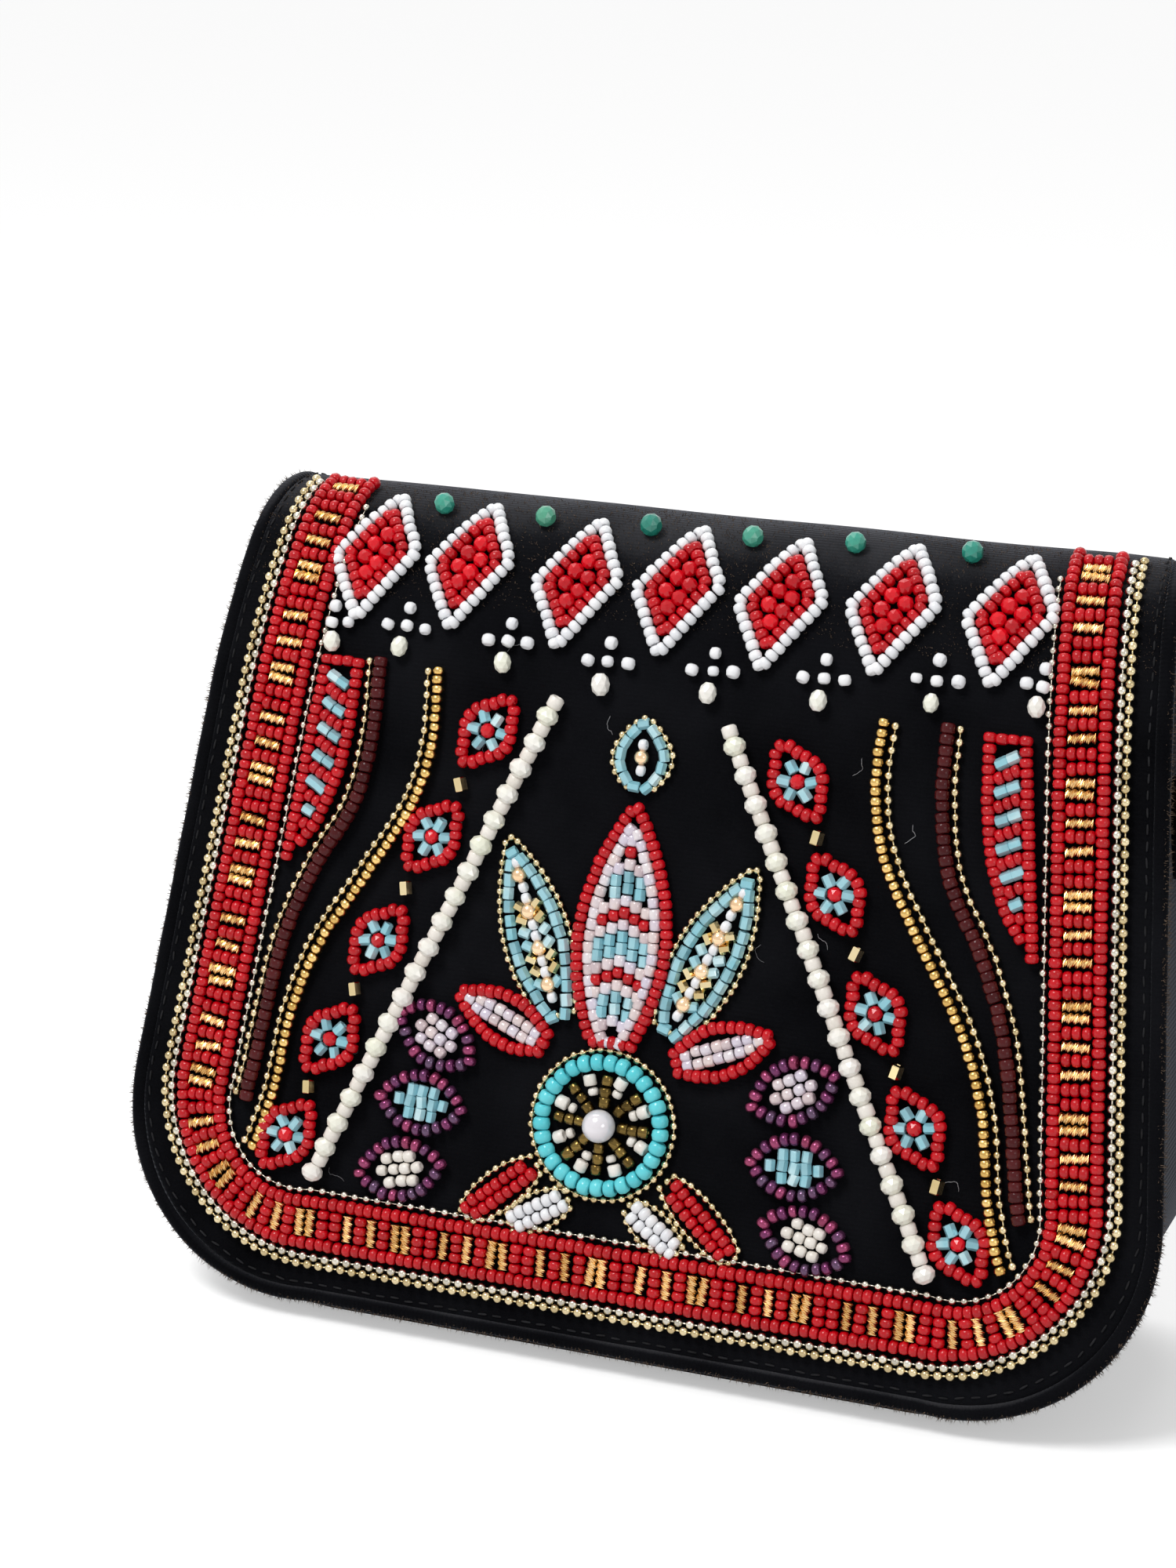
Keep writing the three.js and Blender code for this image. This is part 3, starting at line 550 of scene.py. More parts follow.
def cut_bead(sides, *half):
    """A cut bead: rings of flat three-sided facets, each ring turned by half a step."""
    outline = mirrored(*half)
    points, rings, polygons = [], [], []
    for k, (radius, z) in enumerate(outline):
        rings.append(list(range(len(points), len(points) + sides)))
        for i in range(sides):
            angle = 2 * math.pi * (i + 0.5 * (k % 2)) / sides
            points.append((radius * math.cos(angle), radius * math.sin(angle), z))
    for k in range(len(outline) - 1):
        here, there = rings[k], rings[k + 1]
        for i in range(sides):
            j = (i + 1) % sides
            if k % 2 == 0:
                polygons += [[here[i], there[i], here[j]], [here[j], there[i], there[j]]]
            else:
                polygons += [[here[i], there[i], there[j]], [here[i], there[j], here[j]]]
    polygons += [rings[0], rings[-1][::-1]]
    return Shape(points, polygons, False)


def ball(radius, sides, rings):
    outline = []
    for k in range(rings + 1):
        turn = math.pi * k / rings
        outline.append((0 if k in (0, rings) else radius * math.sin(turn), radius * math.cos(turn)))
    return turned(outline, sides)


def seed(radius, half, hole, sides=12):
    """A glass seed bead: a plump ring round its hole."""
    middle, reach = (radius + hole) / 2, (radius - hole) / 2
    turns = [math.pi * (0.5 - k / 4) for k in range(8)]
    outline = [(middle + reach * math.cos(turn), half * math.sin(turn)) for turn in turns]
    return turned(outline, sides, True, True)


def tube_bead(radius, half, hole, sides, smooth, edge=0.14):
    """A cut or plain cylinder bead with small bevels and an open hole."""
    corners = [(hole, half - edge), (hole + edge, half), (radius - edge, half), (radius, half - edge)]
    return turned(mirrored(*corners), sides, smooth, True)


# Beads, each with its height above the velvet, and the pitches of their rows
SEED_PITCH = 1.62
BALL_PITCH = 2.0
BALL_RADIUS = 0.8
STRIPE_PITCH = 1.92
STRIPE_RADIUS = 0.74
INNER_PITCH = 2.0
SMALL_PITCH = 1.6
SMALL_RADIUS = 0.66
SEED = seed(1.13, 0.79, 0.12).resting(1.1)
SMALL_SEED = seed(1.0, 0.71, 0.16).resting(1.0)
WHEEL_SEED = seed(1.42, 1.02, 0.4, 14).resting(1.45)
MAROON_TUBE = tube_bead(1.16, 0.84, 0.42, 14, True, 0.3).resting(1.1)
BUGLE = tube_bead(0.98, 1.1, 0.42, 6, False).resting(1.0)
SHORT_TUBE = tube_bead(0.98, 0.86, 0.42, 12, True, 0.22).resting(1.05)
SPACER = tube_bead(1.28, 1.02, 0.42, 16, True, 0.3).resting(1.6)
CUBE = tube_bead(1.15, 1.1, 0.45, 6, False).resting(1.1)
BALL = ball(BALL_RADIUS, 10, 7).resting(0.95)
STRIPE_BALL = ball(STRIPE_RADIUS, 8, 6).resting(0.76)
SMALL_BALL = ball(SMALL_RADIUS, 8, 6).resting(0.65)
LINK = turned(mirrored((0, 0.5), (0.15, 0.5)), 6)
GOLD_ROUND = ball(1.3, 16, 12).resting(1.3)
PEARL_BALL = ball(2.7, 32, 24).resting(2.5)
BAR_STEPS = 14
BAR_OUTLINE = [(0.72, 2.2 - 4.4 * k / BAR_STEPS) for k in range(BAR_STEPS + 1)]
BAR = turned([(0, 2.3), *BAR_OUTLINE, (0, -2.3)], 12, False, False, 9.5, 3, 0.28).resting(1.25)
CUT_RED = cut_bead(8, (0.45, 1.2), (1.02, 0.72), (1.3, 0.0)).resting(1.2)
RONDELLE = cut_bead(10, (0.8, 1.45), (1.6, 0.85), (1.95, 0.0)).resting(1.95)
DROP = cut_bead(8, (0.6, 1.65), (1.2, 1.0), (1.5, 0.0)).resting(1.5)
ROUND_CUT = cut_bead(9, (0.8, 1.6), (1.6, 0.95), (1.9, 0.0)).resting(1.6)


class Beads:
    """Beads of one look, gathered into one mesh piece."""

    made = []

    def __init__(self, name, look, *nodes, body="flap"):
        self.name, self.look, self.nodes, self.body = name, look, nodes, body
        self.points, self.loops, self.sizes, self.smooth, self.count = [], [], [], [], 0
        self.made.append(self)

    def add(self, shape, at, axis, out, size=(1, 1, 1)):
        """Copies of a shape at points, its hole along axis and its top along out."""
        number = len(at)
        spin = np.stack([np.cross(out, axis), out, axis], axis=2)
        local = shape.points[None] * np.broadcast_to(size, (number, 3))[:, None, :]
        points = np.einsum("nij,nkj->nki", spin, local) + at[:, None, :]
        each = len(shape.points)
        shift = self.count + each * np.arange(number)[:, None]
        self.points.append(points.reshape(-1, 3))
        self.loops.append((shape.loops[None] + shift).ravel())
        self.sizes.append(np.tile(shape.sizes, number))
        self.smooth.append(np.full(number * len(shape.sizes), shape.smooth))
        self.count += number * each

    def lay(self, shape, places, heading, size=(1, 1, 1), loose=1.0, high=None):
        """Copies on the flap at (u, v) places, their holes along headings in the velvet."""
        places = np.atleast_2d(np.asarray(places, float))
        number = len(places)
        heading = np.broadcast_to(np.asarray(heading, float), (number,))
        places = places + rng.normal(0, 0.05 * loose, (number, 2))
        heading = heading + rng.normal(0, 0.06 * loose, number)
        tilt = rng.normal(0, 0.05 * loose, number)
        sizes = np.asarray(size, float) * (1 + rng.normal(0, 0.025 * loose, (number, 1)))
        up, out = up_and_out(places[:, 1])
        across = np.array([1.0, 0, 0])[None]
        axis = np.cos(heading)[:, None] * across + np.sin(heading)[:, None] * up + tilt[:, None] * out
        axis = unit(axis)
        out = unit(out - (out * axis).sum(1)[:, None] * axis)
        high = shape.high if high is None else high
        self.add(shape, place(places[:, 0], places[:, 1], np.full(number, high)), axis, out, sizes)

    def finish(self):
        arrays = map(np.concatenate, (self.points, self.loops, self.sizes, self.smooth))
        settle(make(self.name, self.look[0], *arrays), self.body, self.look[1], *self.nodes)


def bead_sets(node, **looks):
    """Empty bead sets for one model node, named after the node and their keys."""
    return [Beads(f"{node}_{key}", look, node) for key, look in looks.items()]


# Lines on the flap
def spline(points, steps=16):
    """A smooth line through points, in even steps between each two."""
    points = np.asarray(points, float)
    ends = np.vstack([points[0], points, points[-1]])
    line = []
    for i in range(len(points) - 1):
        before, start, end, after = ends[i:i + 4]
        for t in np.arange(steps) / steps:
            bend = 2 * before - 5 * start + 4 * end - after
            twist = 3 * start - before - 3 * end + after
            line.append(start + 0.5 * ((end - before) * t + bend * t ** 2 + twist * t ** 3))
    line.append(points[-1])
    return np.array(line)


def reach_along(line):
    """Distance from the start of a line to each of its points."""
    return np.concatenate([[0], np.cumsum(np.linalg.norm(np.diff(line, axis=0), axis=1))])


def walk(line, pitch, closed=False, ends=0.5):
    """Evenly spaced places along a line, and the line's heading there."""
    line = np.asarray(line, float)
    if closed:
        line = np.vstack([line, line[0]])
    total = reach_along(line)[-1]
    count = max(int(round(total / pitch)), 1)
    return at_distance(line, (np.arange(count) + (0 if closed else ends)) * total / count)


def at_distance(line, distance):
    along = reach_along(line)
    ahead = np.minimum(distance + 0.3, along[-1])
    behind = np.maximum(distance - 0.3, 0)
    spots = [np.stack([np.interp(d, along, line[:, 0]), np.interp(d, along, line[:, 1])], 1)
             for d in (distance, ahead, behind)]
    return spots[0], heading_of(spots[1] - spots[2])


def heading_of(run):
    return np.arctan2(run[:, 1], run[:, 0])


def towards(angle):
    return np.array([math.cos(angle), math.sin(angle)])


def centred(number):
    return np.arange(number) - (number - 1) / 2


def beside(line, offset):
    """The line moved to its right by an offset."""
    run = unit(np.gradient(np.asarray(line, float), axis=0))
    return line + offset * np.stack([run[:, 1], -run[:, 0]], axis=1)


def full_turn(steps):
    return np.linspace(0, 2 * math.pi, steps, endpoint=False)


def circle(middle, radius, steps=96, start=0.0):
    turn = full_turn(steps) + start
    return middle + radius * np.stack([np.cos(turn), np.sin(turn)], 1)


def border_line(inward, top, pinch=0.0):
    """From the top left down, round the bottom and up the right, inward from the chain line."""
    right = []
    for turn in np.linspace(0, math.pi / 2, 40):
        spread = 1 - pinch * math.sin(2 * turn)
        reach = CHAIN_CORNER - spread * inward
        middle = CHAIN_HALF - CHAIN_CORNER
        right.append((middle + reach * math.sin(turn), CHAIN_CORNER - reach * math.cos(turn)))
    for v in np.arange(CHAIN_CORNER + 1.5, top + 0.1, 1.5):
        right.append((float(flap_half(v, 0)) - inward, v))
    right = np.array(right)
    return np.vstack([right[::-1] * [-1, 1], right])


def band_line(inward, top=BAND_TOP):
    return border_line(inward, top, CORNER_PINCH)


def chain(beads, line, shape, pitch, closed=False, loose=1.0, high=None):
    """Round balls at an even pitch along a line, with a thin link between each two."""
    places, heading = walk(line, pitch, closed)
    string_balls(beads, places, heading, shape, loose, high)
    return places


def string_balls(beads, places, heading, shape, loose=1.0, high=None):
    """Balls at the given places, and the links between them."""
    high = shape.high if high is None else high
    beads.lay(shape, places, heading, loose=loose, high=high)
    run = places[1:] - places[:-1]
    radius = shape.points[0, 2]
    thick = np.full(len(run), radius / BALL_RADIUS)
    size = np.stack([thick, thick, np.linalg.norm(run, axis=1) * 0.8], axis=1)
    beads.lay(LINK, (places[1:] + places[:-1]) / 2, heading_of(run), size, 0, high)


def nested(places):
    """Places further in, each in the gap between two balls of the chain beside them."""
    run = places[1:] - places[:-1]
    middles = (places[1:] + places[:-1]) / 2
    across = unit(run)[:, ::-1] * [-1, 1]
    inward = np.sign(np.sum(across * (FACE_MIDDLE - middles), axis=1))[:, None]
    return middles + across * inward * NEST, heading_of(run)


class Leaf:
    """A leaf-shaped field; turn is from upright, and its width follows part of a sine wave."""

    def __init__(self, base, turn, length, half, start, growth, fullness):
        self.base, self.length, self.half = np.array(base, float), length, half
        self.start, self.growth, self.fullness = start, growth, fullness
        self.forward = np.array([math.sin(turn), math.cos(turn)]) * length
        self.right = np.array([math.cos(turn), -math.sin(turn)])
        self.heading = math.pi / 2 - turn

    def width(self, share):
        """Half width at a share of the length."""
        swell = math.sin(math.pi * min(self.start + share * self.growth, 1))
        return self.half * max(swell, 0) ** self.fullness

    def spot(self, share, across=0.0):
        return self.base + share * self.forward + across * self.right

    def outline(self, inset, steps=60):
        """The closed line at an inset from the edge."""
        share = np.linspace(0, 1, steps)
        width = np.array([self.width(s) for s in share]) - inset
        keep = width > 0.25
        share, width = share[keep, None], width[keep, None]
        return np.vstack([self.spot(share, width), self.spot(share, -width)[::-1]])


# Border: two nested ball chains, two red rails with gold bars and red rows between, one thin chain
def make_border():
    outer = Beads("ball_chain_outer", GOLD_BALL, "border_chain_outer")
    second = Beads("ball_chain_second", PALE_BALL, "border_chain_second")
    inner = Beads("ball_chain_inner", PALE_BALL, "border_chain_inner")
    rails = Beads("rail_beads", RED, "border_rail_outer", "border_rail_inner")
    rows = Beads("row_beads", RED, "border_bars")
    bars = Beads("twisted_bars", GOLD_WIRE, "border_bars")
    places = chain(outer, band_line(OUTER_CHAIN), BALL, BALL_PITCH, loose=0.5)
    string_balls(second, *nested(places), BALL, loose=0.5)
    chain(inner, band_line(INNER_CHAIN, INNER_TOP), SMALL_BALL, INNER_PITCH, high=0.75)
    for inward in (OUTER_RAIL, INNER_RAIL):
        rails.lay(SEED, *walk(band_line(inward), SEED_PITCH), high=1.12)
    middle = band_line(BARS_MIDDLE)
    end = reach_along(middle)[-1]
    last_double = end - LAST_DOUBLE
    periods = round((last_double - FIRST_DOUBLE) / BAR_PERIOD)
    period = (last_double - FIRST_DOUBLE) / periods
    for start in FIRST_DOUBLE + period * np.arange(-2, periods + 1):
        for kind, shift in BAND_ORDER:
            distance = start + shift * period / BAR_PERIOD
            if not BAND_END < distance < end - BAND_END:
                continue
            spot, heading = at_distance(middle, np.array([distance]))
            inside = heading[0] + math.pi / 2
            if kind == "bar" and distance > END_ROWS:
                bars.lay(BAR, spot, inside)
            else:
                places = [spot[0] + towards(inside) * k * ROW_STEP for k in (-1, 0, 1)]
                rows.lay(SEED, places, inside, (1.0, 1.0, 0.97))


# Diamonds: a white outline, a red outline inside it and six cut red beads
DIAMOND_MIDDLES = [(-54.9, 118.9), (-38.2, 119.0), (-19.1, 117.9), (-1.8, 118.5),
                   (15.6, 118.1), (34.0, 119.3), (52.9, 119.6)]
DIAMOND_TIP = np.array([1.4, 11.0])
DIAMOND_SIDE = np.array([7.0, 0.9])
DIAMOND_CUTS = np.array([(1.45, 3.5), (-0.5, 1.7), (2.0, 0.6), (-1.9, -0.8), (0.7, -1.8), (-1.1, -3.7)])
DIAMOND_RED = 0.68
OUTLINE_PITCH = 1.68
FILLING_PITCH = 1.6
CUT_SPREAD = 0.93


def make_diamonds():
    nodes = [f"diamond_{i + 1}" for i in range(len(DIAMOND_MIDDLES))]
    white = Beads("diamond_outlines", WHITE, *nodes)
    red = Beads("diamond_red_beads", RED, *nodes)
    cut = Beads("diamond_cut_beads", RED_CUT, *nodes)
    corners = [DIAMOND_TIP, DIAMOND_SIDE, -DIAMOND_TIP, -DIAMOND_SIDE]
    for middle in np.array(DIAMOND_MIDDLES):
        for beads, share, pitch in ((white, 1.0, OUTLINE_PITCH), (red, DIAMOND_RED, FILLING_PITCH)):
            for k in range(4):
                side = [middle + corners[k] * share, middle + corners[(k + 1) % 4] * share]
                beads.lay(SEED, *walk(side, pitch, ends=0.35))
        spots = DIAMOND_CUTS * CUT_SPREAD + middle
        cut.lay(CUT_RED, spots, rng.uniform(0, math.pi, len(spots)), 1.1, high=1.25)


# Green cut beads between the diamonds, and sprigs of white seeds with a cream drop below
GREEN_PLACES = [(-45.7, 129.1), (-27.5, 128.4), (-9.3, 128.9), (8.2, 128.7), (25.1, 129.5), (44.2, 130.1)]
SPRIG_MIDDLES = [(-47.1, 107.4), (-28.8, 106.8), (-11.3, 105.3), (6.5, 105.8), (24.9, 106.6), (43.1, 108.4)]
END_SPRIGS = [(-1, -60.3, 106.8), (1, 60.0, 109.4)]
SPRIG_SEED = (0.95, 0.95, 1.1)


def make_sprigs():
    seeds = Beads("sprig_seeds", WHITE, "flap_cover")
    drops = Beads("sprig_drops", CREAM, "flap_cover")
    greens = Beads("green_beads", GREEN, "flap_cover")
    greens.lay(ROUND_CUT, GREEN_PLACES, rng.uniform(-0.5, 0.5, len(GREEN_PLACES)))
    for u, v in SPRIG_MIDDLES:
        places = [(u, v + 3.0), (u - 3.4, v - 0.1), (u, v), (u + 3.4, v + 0.1)]
        seeds.lay(SEED, places, [0, 1.4, 1.5, 1.6], SPRIG_SEED, 2)
        drops.lay(DROP, [(u - 0.3, v - 3.6)], math.pi / 2, loose=2)
    for side, u, v in END_SPRIGS:
        places = [(u, v + 2.6), (u, v - 0.2), (u - side * 2.9, v)]
        seeds.lay(SEED, places, [0, 1.5, 1.6], SPRIG_SEED, 2)
        drops.lay(DROP, [(u - side * 0.6, v - 3.3)], math.pi / 2, loose=2)


# Stripes that sweep down both sides, each with a small ball chain on its outer side
MAROON_PATH = [(48.3, 102), (48.4, 90), (50.6, 78), (56.6, 66.7), (61.2, 55), (63.7, 42), (65.2, 32),
               (66.3, 26)]
GOLD_PATH = [(37.9, 101.5), (37.6, 90), (40.2, 79), (47, 67), (54.8, 54), (59, 42), (60.8, 30), (62.8, 22),
             (64.3, 17.9)]
STRIPE_DRIFT = -0.029
STRIPE_DRIFT_FROM = 20
CHAIN_APART = 1.95


def make_stripes():
    for label, side in SIDES:
        for name, path, shape, pitch, look in (
            ("maroon", MAROON_PATH, MAROON_TUBE, 1.74, MAROON),
            ("gold", GOLD_PATH, SMALL_SEED, 1.52, GOLD_SEED),
        ):
            line = spline([(side * u + STRIPE_DRIFT * (v - STRIPE_DRIFT_FROM), v) for u, v in path])
            node = f"stripe_{name}_{label}"
            beads, balls = bead_sets(node, beads=look, chain=GOLD_BALL)
            beads.lay(shape, *walk(line, pitch), high=1.1)
            chain(balls, beside(line, -side * CHAIN_APART), STRIPE_BALL, STRIPE_PITCH)


# Wings: a red outline filled with pairs of aqua tubes between red rows
WING_TOP = 100.5
WING_HEIGHTS = [66, 70, 74, 82, 91, WING_TOP]
WING_WIDTHS = [0.6, 3.8, 6.2, 8.2, 8.4, 7.8]
WING_SLOPE = math.radians(27)
WING_APART = 1.7
WING_ROW = 2.2
WING_MARGIN = 1.8
OUTLINE_ROOM = 2.1


def make_wings():
    low = WING_HEIGHTS[0]
    for label, side in SIDES:
        node = f"wing_{label}"
        red, aqua = bead_sets(node, red=RED, aqua=AQUA)

        def outer(v):
            apart = WING_APART * (v - low) / (WING_TOP - low) if side > 0 else 0
            return float(flap_half(v, 0)) - INNER_CHAIN - WING_MARGIN - apart

        def inner(v):
            return outer(v) - max(float(np.interp(v, WING_HEIGHTS, WING_WIDTHS)) - OUTLINE_ROOM, 0)

        top_width = outer(WING_TOP) - inner(WING_TOP)
        spots = [(side * (inner(WING_TOP) + top_width * k / 3), WING_TOP) for k in range(4)]
        red.lay(SEED, spots, math.pi / 2)
        fine = np.arange(WING_TOP - 0.9, low, -1.0)
        for line in ([(side * outer(v), v) for v in fine], [(side * inner(v), v) for v in fine[:-3]]):
            red.lay(SEED, *walk(line, SEED_PITCH))
        direction = towards(WING_SLOPE) * [side, 1]
        heading = math.atan2(direction[1], direction[0])
        for k, v in enumerate(np.arange(WING_TOP - 3.2, 70.5, -WING_ROW)):
            length = (outer(v) - inner(v) - 2.3) / math.cos(WING_SLOPE)
            number = int(round(length / (2.1 if k % 2 == 0 else 1.6)))
            if number < 1:
                continue
            middle = np.array([side * (outer(v) + inner(v)) / 2, v])
            places = [middle + direction * shift for shift in centred(number) * length / number]
            if k % 2 == 0:
                aqua.lay(BUGLE, places, heading, (1, 1, 0.93))
            else:
                red.lay(SEED, places, heading, (0.95, 0.95, 0.95), high=1.05)


# Strings of cut rondelles with ivory cylinders between them
STRING_ENDS = [((-18.9, 98.2), (-53.3, 14.3)), ((10.7, 97.0), (53.2, 14.5))]
RONDELLE_PITCH = 4.86


def make_strings():
    for (label, side), ends in zip(SIDES, STRING_ENDS):
        node = f"rondelle_string_{label}"
        places, heading = walk(spline(ends), RONDELLE_PITCH, ends=0.6)
        Beads(f"string_{label}_rondelles", CREAM, node).lay(RONDELLE, places, heading, loose=0.8)
        step = np.array(ends[1]) - np.array(ends[0])
        step *= RONDELLE_PITCH / np.linalg.norm(step)
        Beads(f"string_{label}_spacers", IVORY, node).lay(SPACER, places - step / 2, heading, loose=0.7)


# Garlands: rosettes with a ring of aqua tubes, joined by gold cubes
ROSETTES = {
    "left": [(-30.3, 92.0), (-38.0, 73.8), (-45.5, 55.7), (-52.3, 38.3), (-58.3, 21.4)],
    "right": [(22.8, 90.1), (30.9, 73.1), (39.6, 55.4), (48.0, 38.5), (57.0, 21.6)],
}
ROSETTE_SIDE = 4.1
ROSETTE_TIP = 2.2
ROSETTE_LEAN = math.radians(34)
ROSETTE_RING = 2.4
ROSETTE_PITCH = 1.56


def make_garlands():
    for label, side in SIDES:
        node = f"garland_{label}"
        red, aqua, cut, cubes = bead_sets(node, red=RED, aqua=AQUA, cut=RED_CUT, cubes=GOLD_CUBE)
        middles = np.array(ROSETTES[label])
        reach = ROSETTE_SIDE + ROSETTE_TIP * np.abs(np.cos(full_turn(120))) ** 14
        for middle in middles:
            outline = circle(middle, reach[:, None], 120, math.pi / 2 + side * ROSETTE_LEAN)
            red.lay(SEED, *walk(outline, ROSETTE_PITCH, closed=True))
            spin = rng.uniform(-0.15, 0.15)
            for angle in np.arange(6) * math.pi / 3 + spin:
                aqua.lay(BUGLE, middle + ROSETTE_RING * towards(angle), angle, (0.97, 0.97, 0.93), 1.5)
            cut.lay(CUT_RED, middle, rng.uniform(0, math.pi))
        between = (middles[1:] + middles[:-1]) / 2
        cubes.lay(CUBE, between, math.pi / 2 - side * rng.uniform(0.1, 0.4, len(between)))


# Wheel with leaves below and almonds beside it
WHEEL = np.array([-3.5, 31.2])
WHEEL_RADIUS = 10.2
WHEEL_PITCH = 2.2
BRONZE_RADII = (3.7, 5.5, 7.3)
IVORY_RADIUS = 7.5
IVORY_SEED_RADIUS = 5.6


def make_wheel():
    ring = Beads("wheel_turquoise", TURQUOISE, "wheel_ring")
    balls = Beads("wheel_chain", GOLD_BALL, "wheel_ring")
    bronze = Beads("wheel_spokes_bronze", BRONZE, "wheel_spokes")
    white = Beads("wheel_spokes_white", IVORY, "wheel_spokes")
    ring.lay(WHEEL_SEED, *walk(circle(WHEEL, WHEEL_RADIUS), WHEEL_PITCH, closed=True))
    chain(balls, circle(WHEEL, WHEEL_RADIUS + CHAIN_APART), SMALL_BALL, SMALL_PITCH, True)
    for k in range(16):
        angle = k * math.pi / 8 + rng.normal(0, 0.03)
        direction = towards(angle)
        if k % 2 == 0:
            spots = [WHEEL + direction * radius for radius in BRONZE_RADII]
            bronze.lay(SHORT_TUBE, spots, angle, 1.0, 1.5, high=1.0)
        else:
            white.lay(SHORT_TUBE, WHEEL + direction * IVORY_RADIUS, angle, 1.1, 1.5, high=1.1)
            white.lay(SMALL_SEED, WHEEL + direction * IVORY_SEED_RADIUS, angle, 0.9, 1.5, high=0.8)
    Beads("wheel_pearl_bead", PEARL, "wheel_pearl").lay(PEARL_BALL, WHEEL, 0.5, loose=0)


LEAVES = [
    ("leaf_red_left", (-14.1, 23.2), (-24.6, 13.9), 2.6),
    ("leaf_white_left", (-8.0, 18.6), (-16.5, 13.5), 2.4),
    ("leaf_white_right", (2.6, 18.9), (10.4, 13.4), 2.4),
    ("leaf_red_right", (8.4, 23.8), (19.8, 13.9), 2.6),
]
LEAF_FULLNESS = 0.42
LEAF_PITCH = 1.66
LEAF_ROW = 1.02


def make_leaves():
    for node, base, tip, half in LEAVES:
        run = np.array(tip) - np.array(base)
        length = float(np.linalg.norm(run)) + 1.2
        leaf = Leaf(base, math.atan2(run[0], run[1]), length, half + 0.6, 0.05, 0.9, LEAF_FULLNESS)
        seeds, balls = bead_sets(node, seeds=WHITE if "white" in node else RED, chain=GOLD_BALL)
        for row, offset in enumerate((-LEAF_ROW, LEAF_ROW)):
            shares = np.arange(0.1 + row * 0.06, 0.95, LEAF_PITCH / length)
            places = [leaf.spot(s, offset * min(leaf.width(s) / half, 1)) for s in shares]
            seeds.lay(SEED, places, leaf.heading, (0.97, 0.97, 1))
        chain(balls, leaf.outline(0.0), SMALL_BALL, SMALL_PITCH, True)


ALMONDS = {
    "left": [(-33.6, 41.5), (-35.0, 30.2), (-37.5, 18.8)],
    "right": [(27.8, 41.3), (29.2, 29.4), (32.3, 18.2)],
}
ALMOND_LENGTH = 7.2
ALMOND_WIDTH = 4.5
ALMOND_ROW = 1.95
ALMOND_PITCH = 1.8
ALMOND_TILTS = [math.radians(turn) for turn in (27, 2, -14)]
TUBE_FILL = (BUGLE, (3, 5, 3), 1.95, math.pi / 2, (0.93, 0.93, 0.86))
SEED_FILL = (SMALL_SEED, (3, 4, 3), 2.05, 0.0, (1.0, 1.0, 1.3))
ALMOND_FILLS = [("lilac", LILAC, SEED_FILL), ("aqua", AQUA, TUBE_FILL), ("ivory", IVORY, SEED_FILL)]


def make_almonds():
    turn = full_turn(120)
    along = ALMOND_LENGTH * np.cos(turn)
    across = ALMOND_WIDTH * np.sin(turn) * np.abs(np.sin(turn)) ** 0.7
    for label, side in SIDES:
        for row, middle in enumerate(ALMONDS[label]):
            node = f"almond_{label}_{row + 1}"
            lean = side * ALMOND_TILTS[row]
            right, up = towards(lean), np.array([-math.sin(lean), math.cos(lean)])
            outline = along[:, None] * right + across[:, None] * up + middle
            name, look, (shape, numbers, pitch, turned_by, size) = ALMOND_FILLS[row]
            plum, fill = bead_sets(node, plum=PLUM, **{name: look})
            plum.lay(SEED, *walk(outline, ALMOND_PITCH, closed=True), (1.0, 1.0, 0.92), 1.4)
            for number, offset in zip(numbers, (-ALMOND_ROW, 0.0, ALMOND_ROW)):
                spots = np.array(middle) + right * centred(number)[:, None] * pitch + up * offset
                fill.lay(shape, spots, lean + turned_by, size, 1.4)


# Lotus: a tall middle petal between two pairs that fan out, with a finial above
LOTUS = np.array([-3.5, 44.6])
PETAL_START = 0.16
PETAL_FULLNESS = 0.85
PETAL_CHAIN = 0.7
CHEVRON_PITCH = 1.95
CHEVRON_DROP = 0.8
CHEVRON_ORDER = ["lilac", "aqua", "aqua", "lilac", "red"]


def petal(shift, turn, length, half):
    """A petal from a shift off the lotus's foot, turned in degrees from upright."""
    turn = math.radians(turn)
    return Leaf(LOTUS + shift, turn, length, half, PETAL_START, 1 - PETAL_START, PETAL_FULLNESS)


def make_middle_petal():
    node = "lotus_petal_middle"
    red = Beads("lotus_middle_red", RED, node)
    lilac = Beads("lotus_middle_lilac", LILAC, node)
    aqua = Beads("lotus_middle_aqua", AQUA, node)
    leaf = petal((0, 0), 0, 40.0, 8.6)
    for beads, inset, shape, pitch in ((red, 1.1, SEED, 1.6), (lilac, 3.15, SHORT_TUBE, 1.85)):
        beads.lay(shape, *walk(leaf.outline(inset), pitch, closed=True), high=1.1)
    kinds = {
        "red": (red, SEED, 0, (0.9, 0.9, 1.12), 1.05),
        "lilac": (lilac, SHORT_TUBE, math.pi / 2, (1, 1, 1.05), 1.05),
        "aqua": (aqua, BUGLE, math.pi / 2, (0.97, 0.97, 0.83), 1.0),
    }
    for row, rise in enumerate(np.arange(3.6, 34.0, CHEVRON_PITCH)):
        room = leaf.width(rise / leaf.length) - 4.6
        columns = max(int(round(room / 1.95)), 0)
        step = min(max(room / columns, 1.8), 2.2) if columns else 0
        beads, shape, heading, size, high = kinds[CHEVRON_ORDER[row % len(CHEVRON_ORDER)]]
        for column in range(-columns, columns + 1):
            spot = LOTUS + [column * step, rise - abs(column) * CHEVRON_DROP]
            beads.lay(shape, spot, heading, size, high=high)


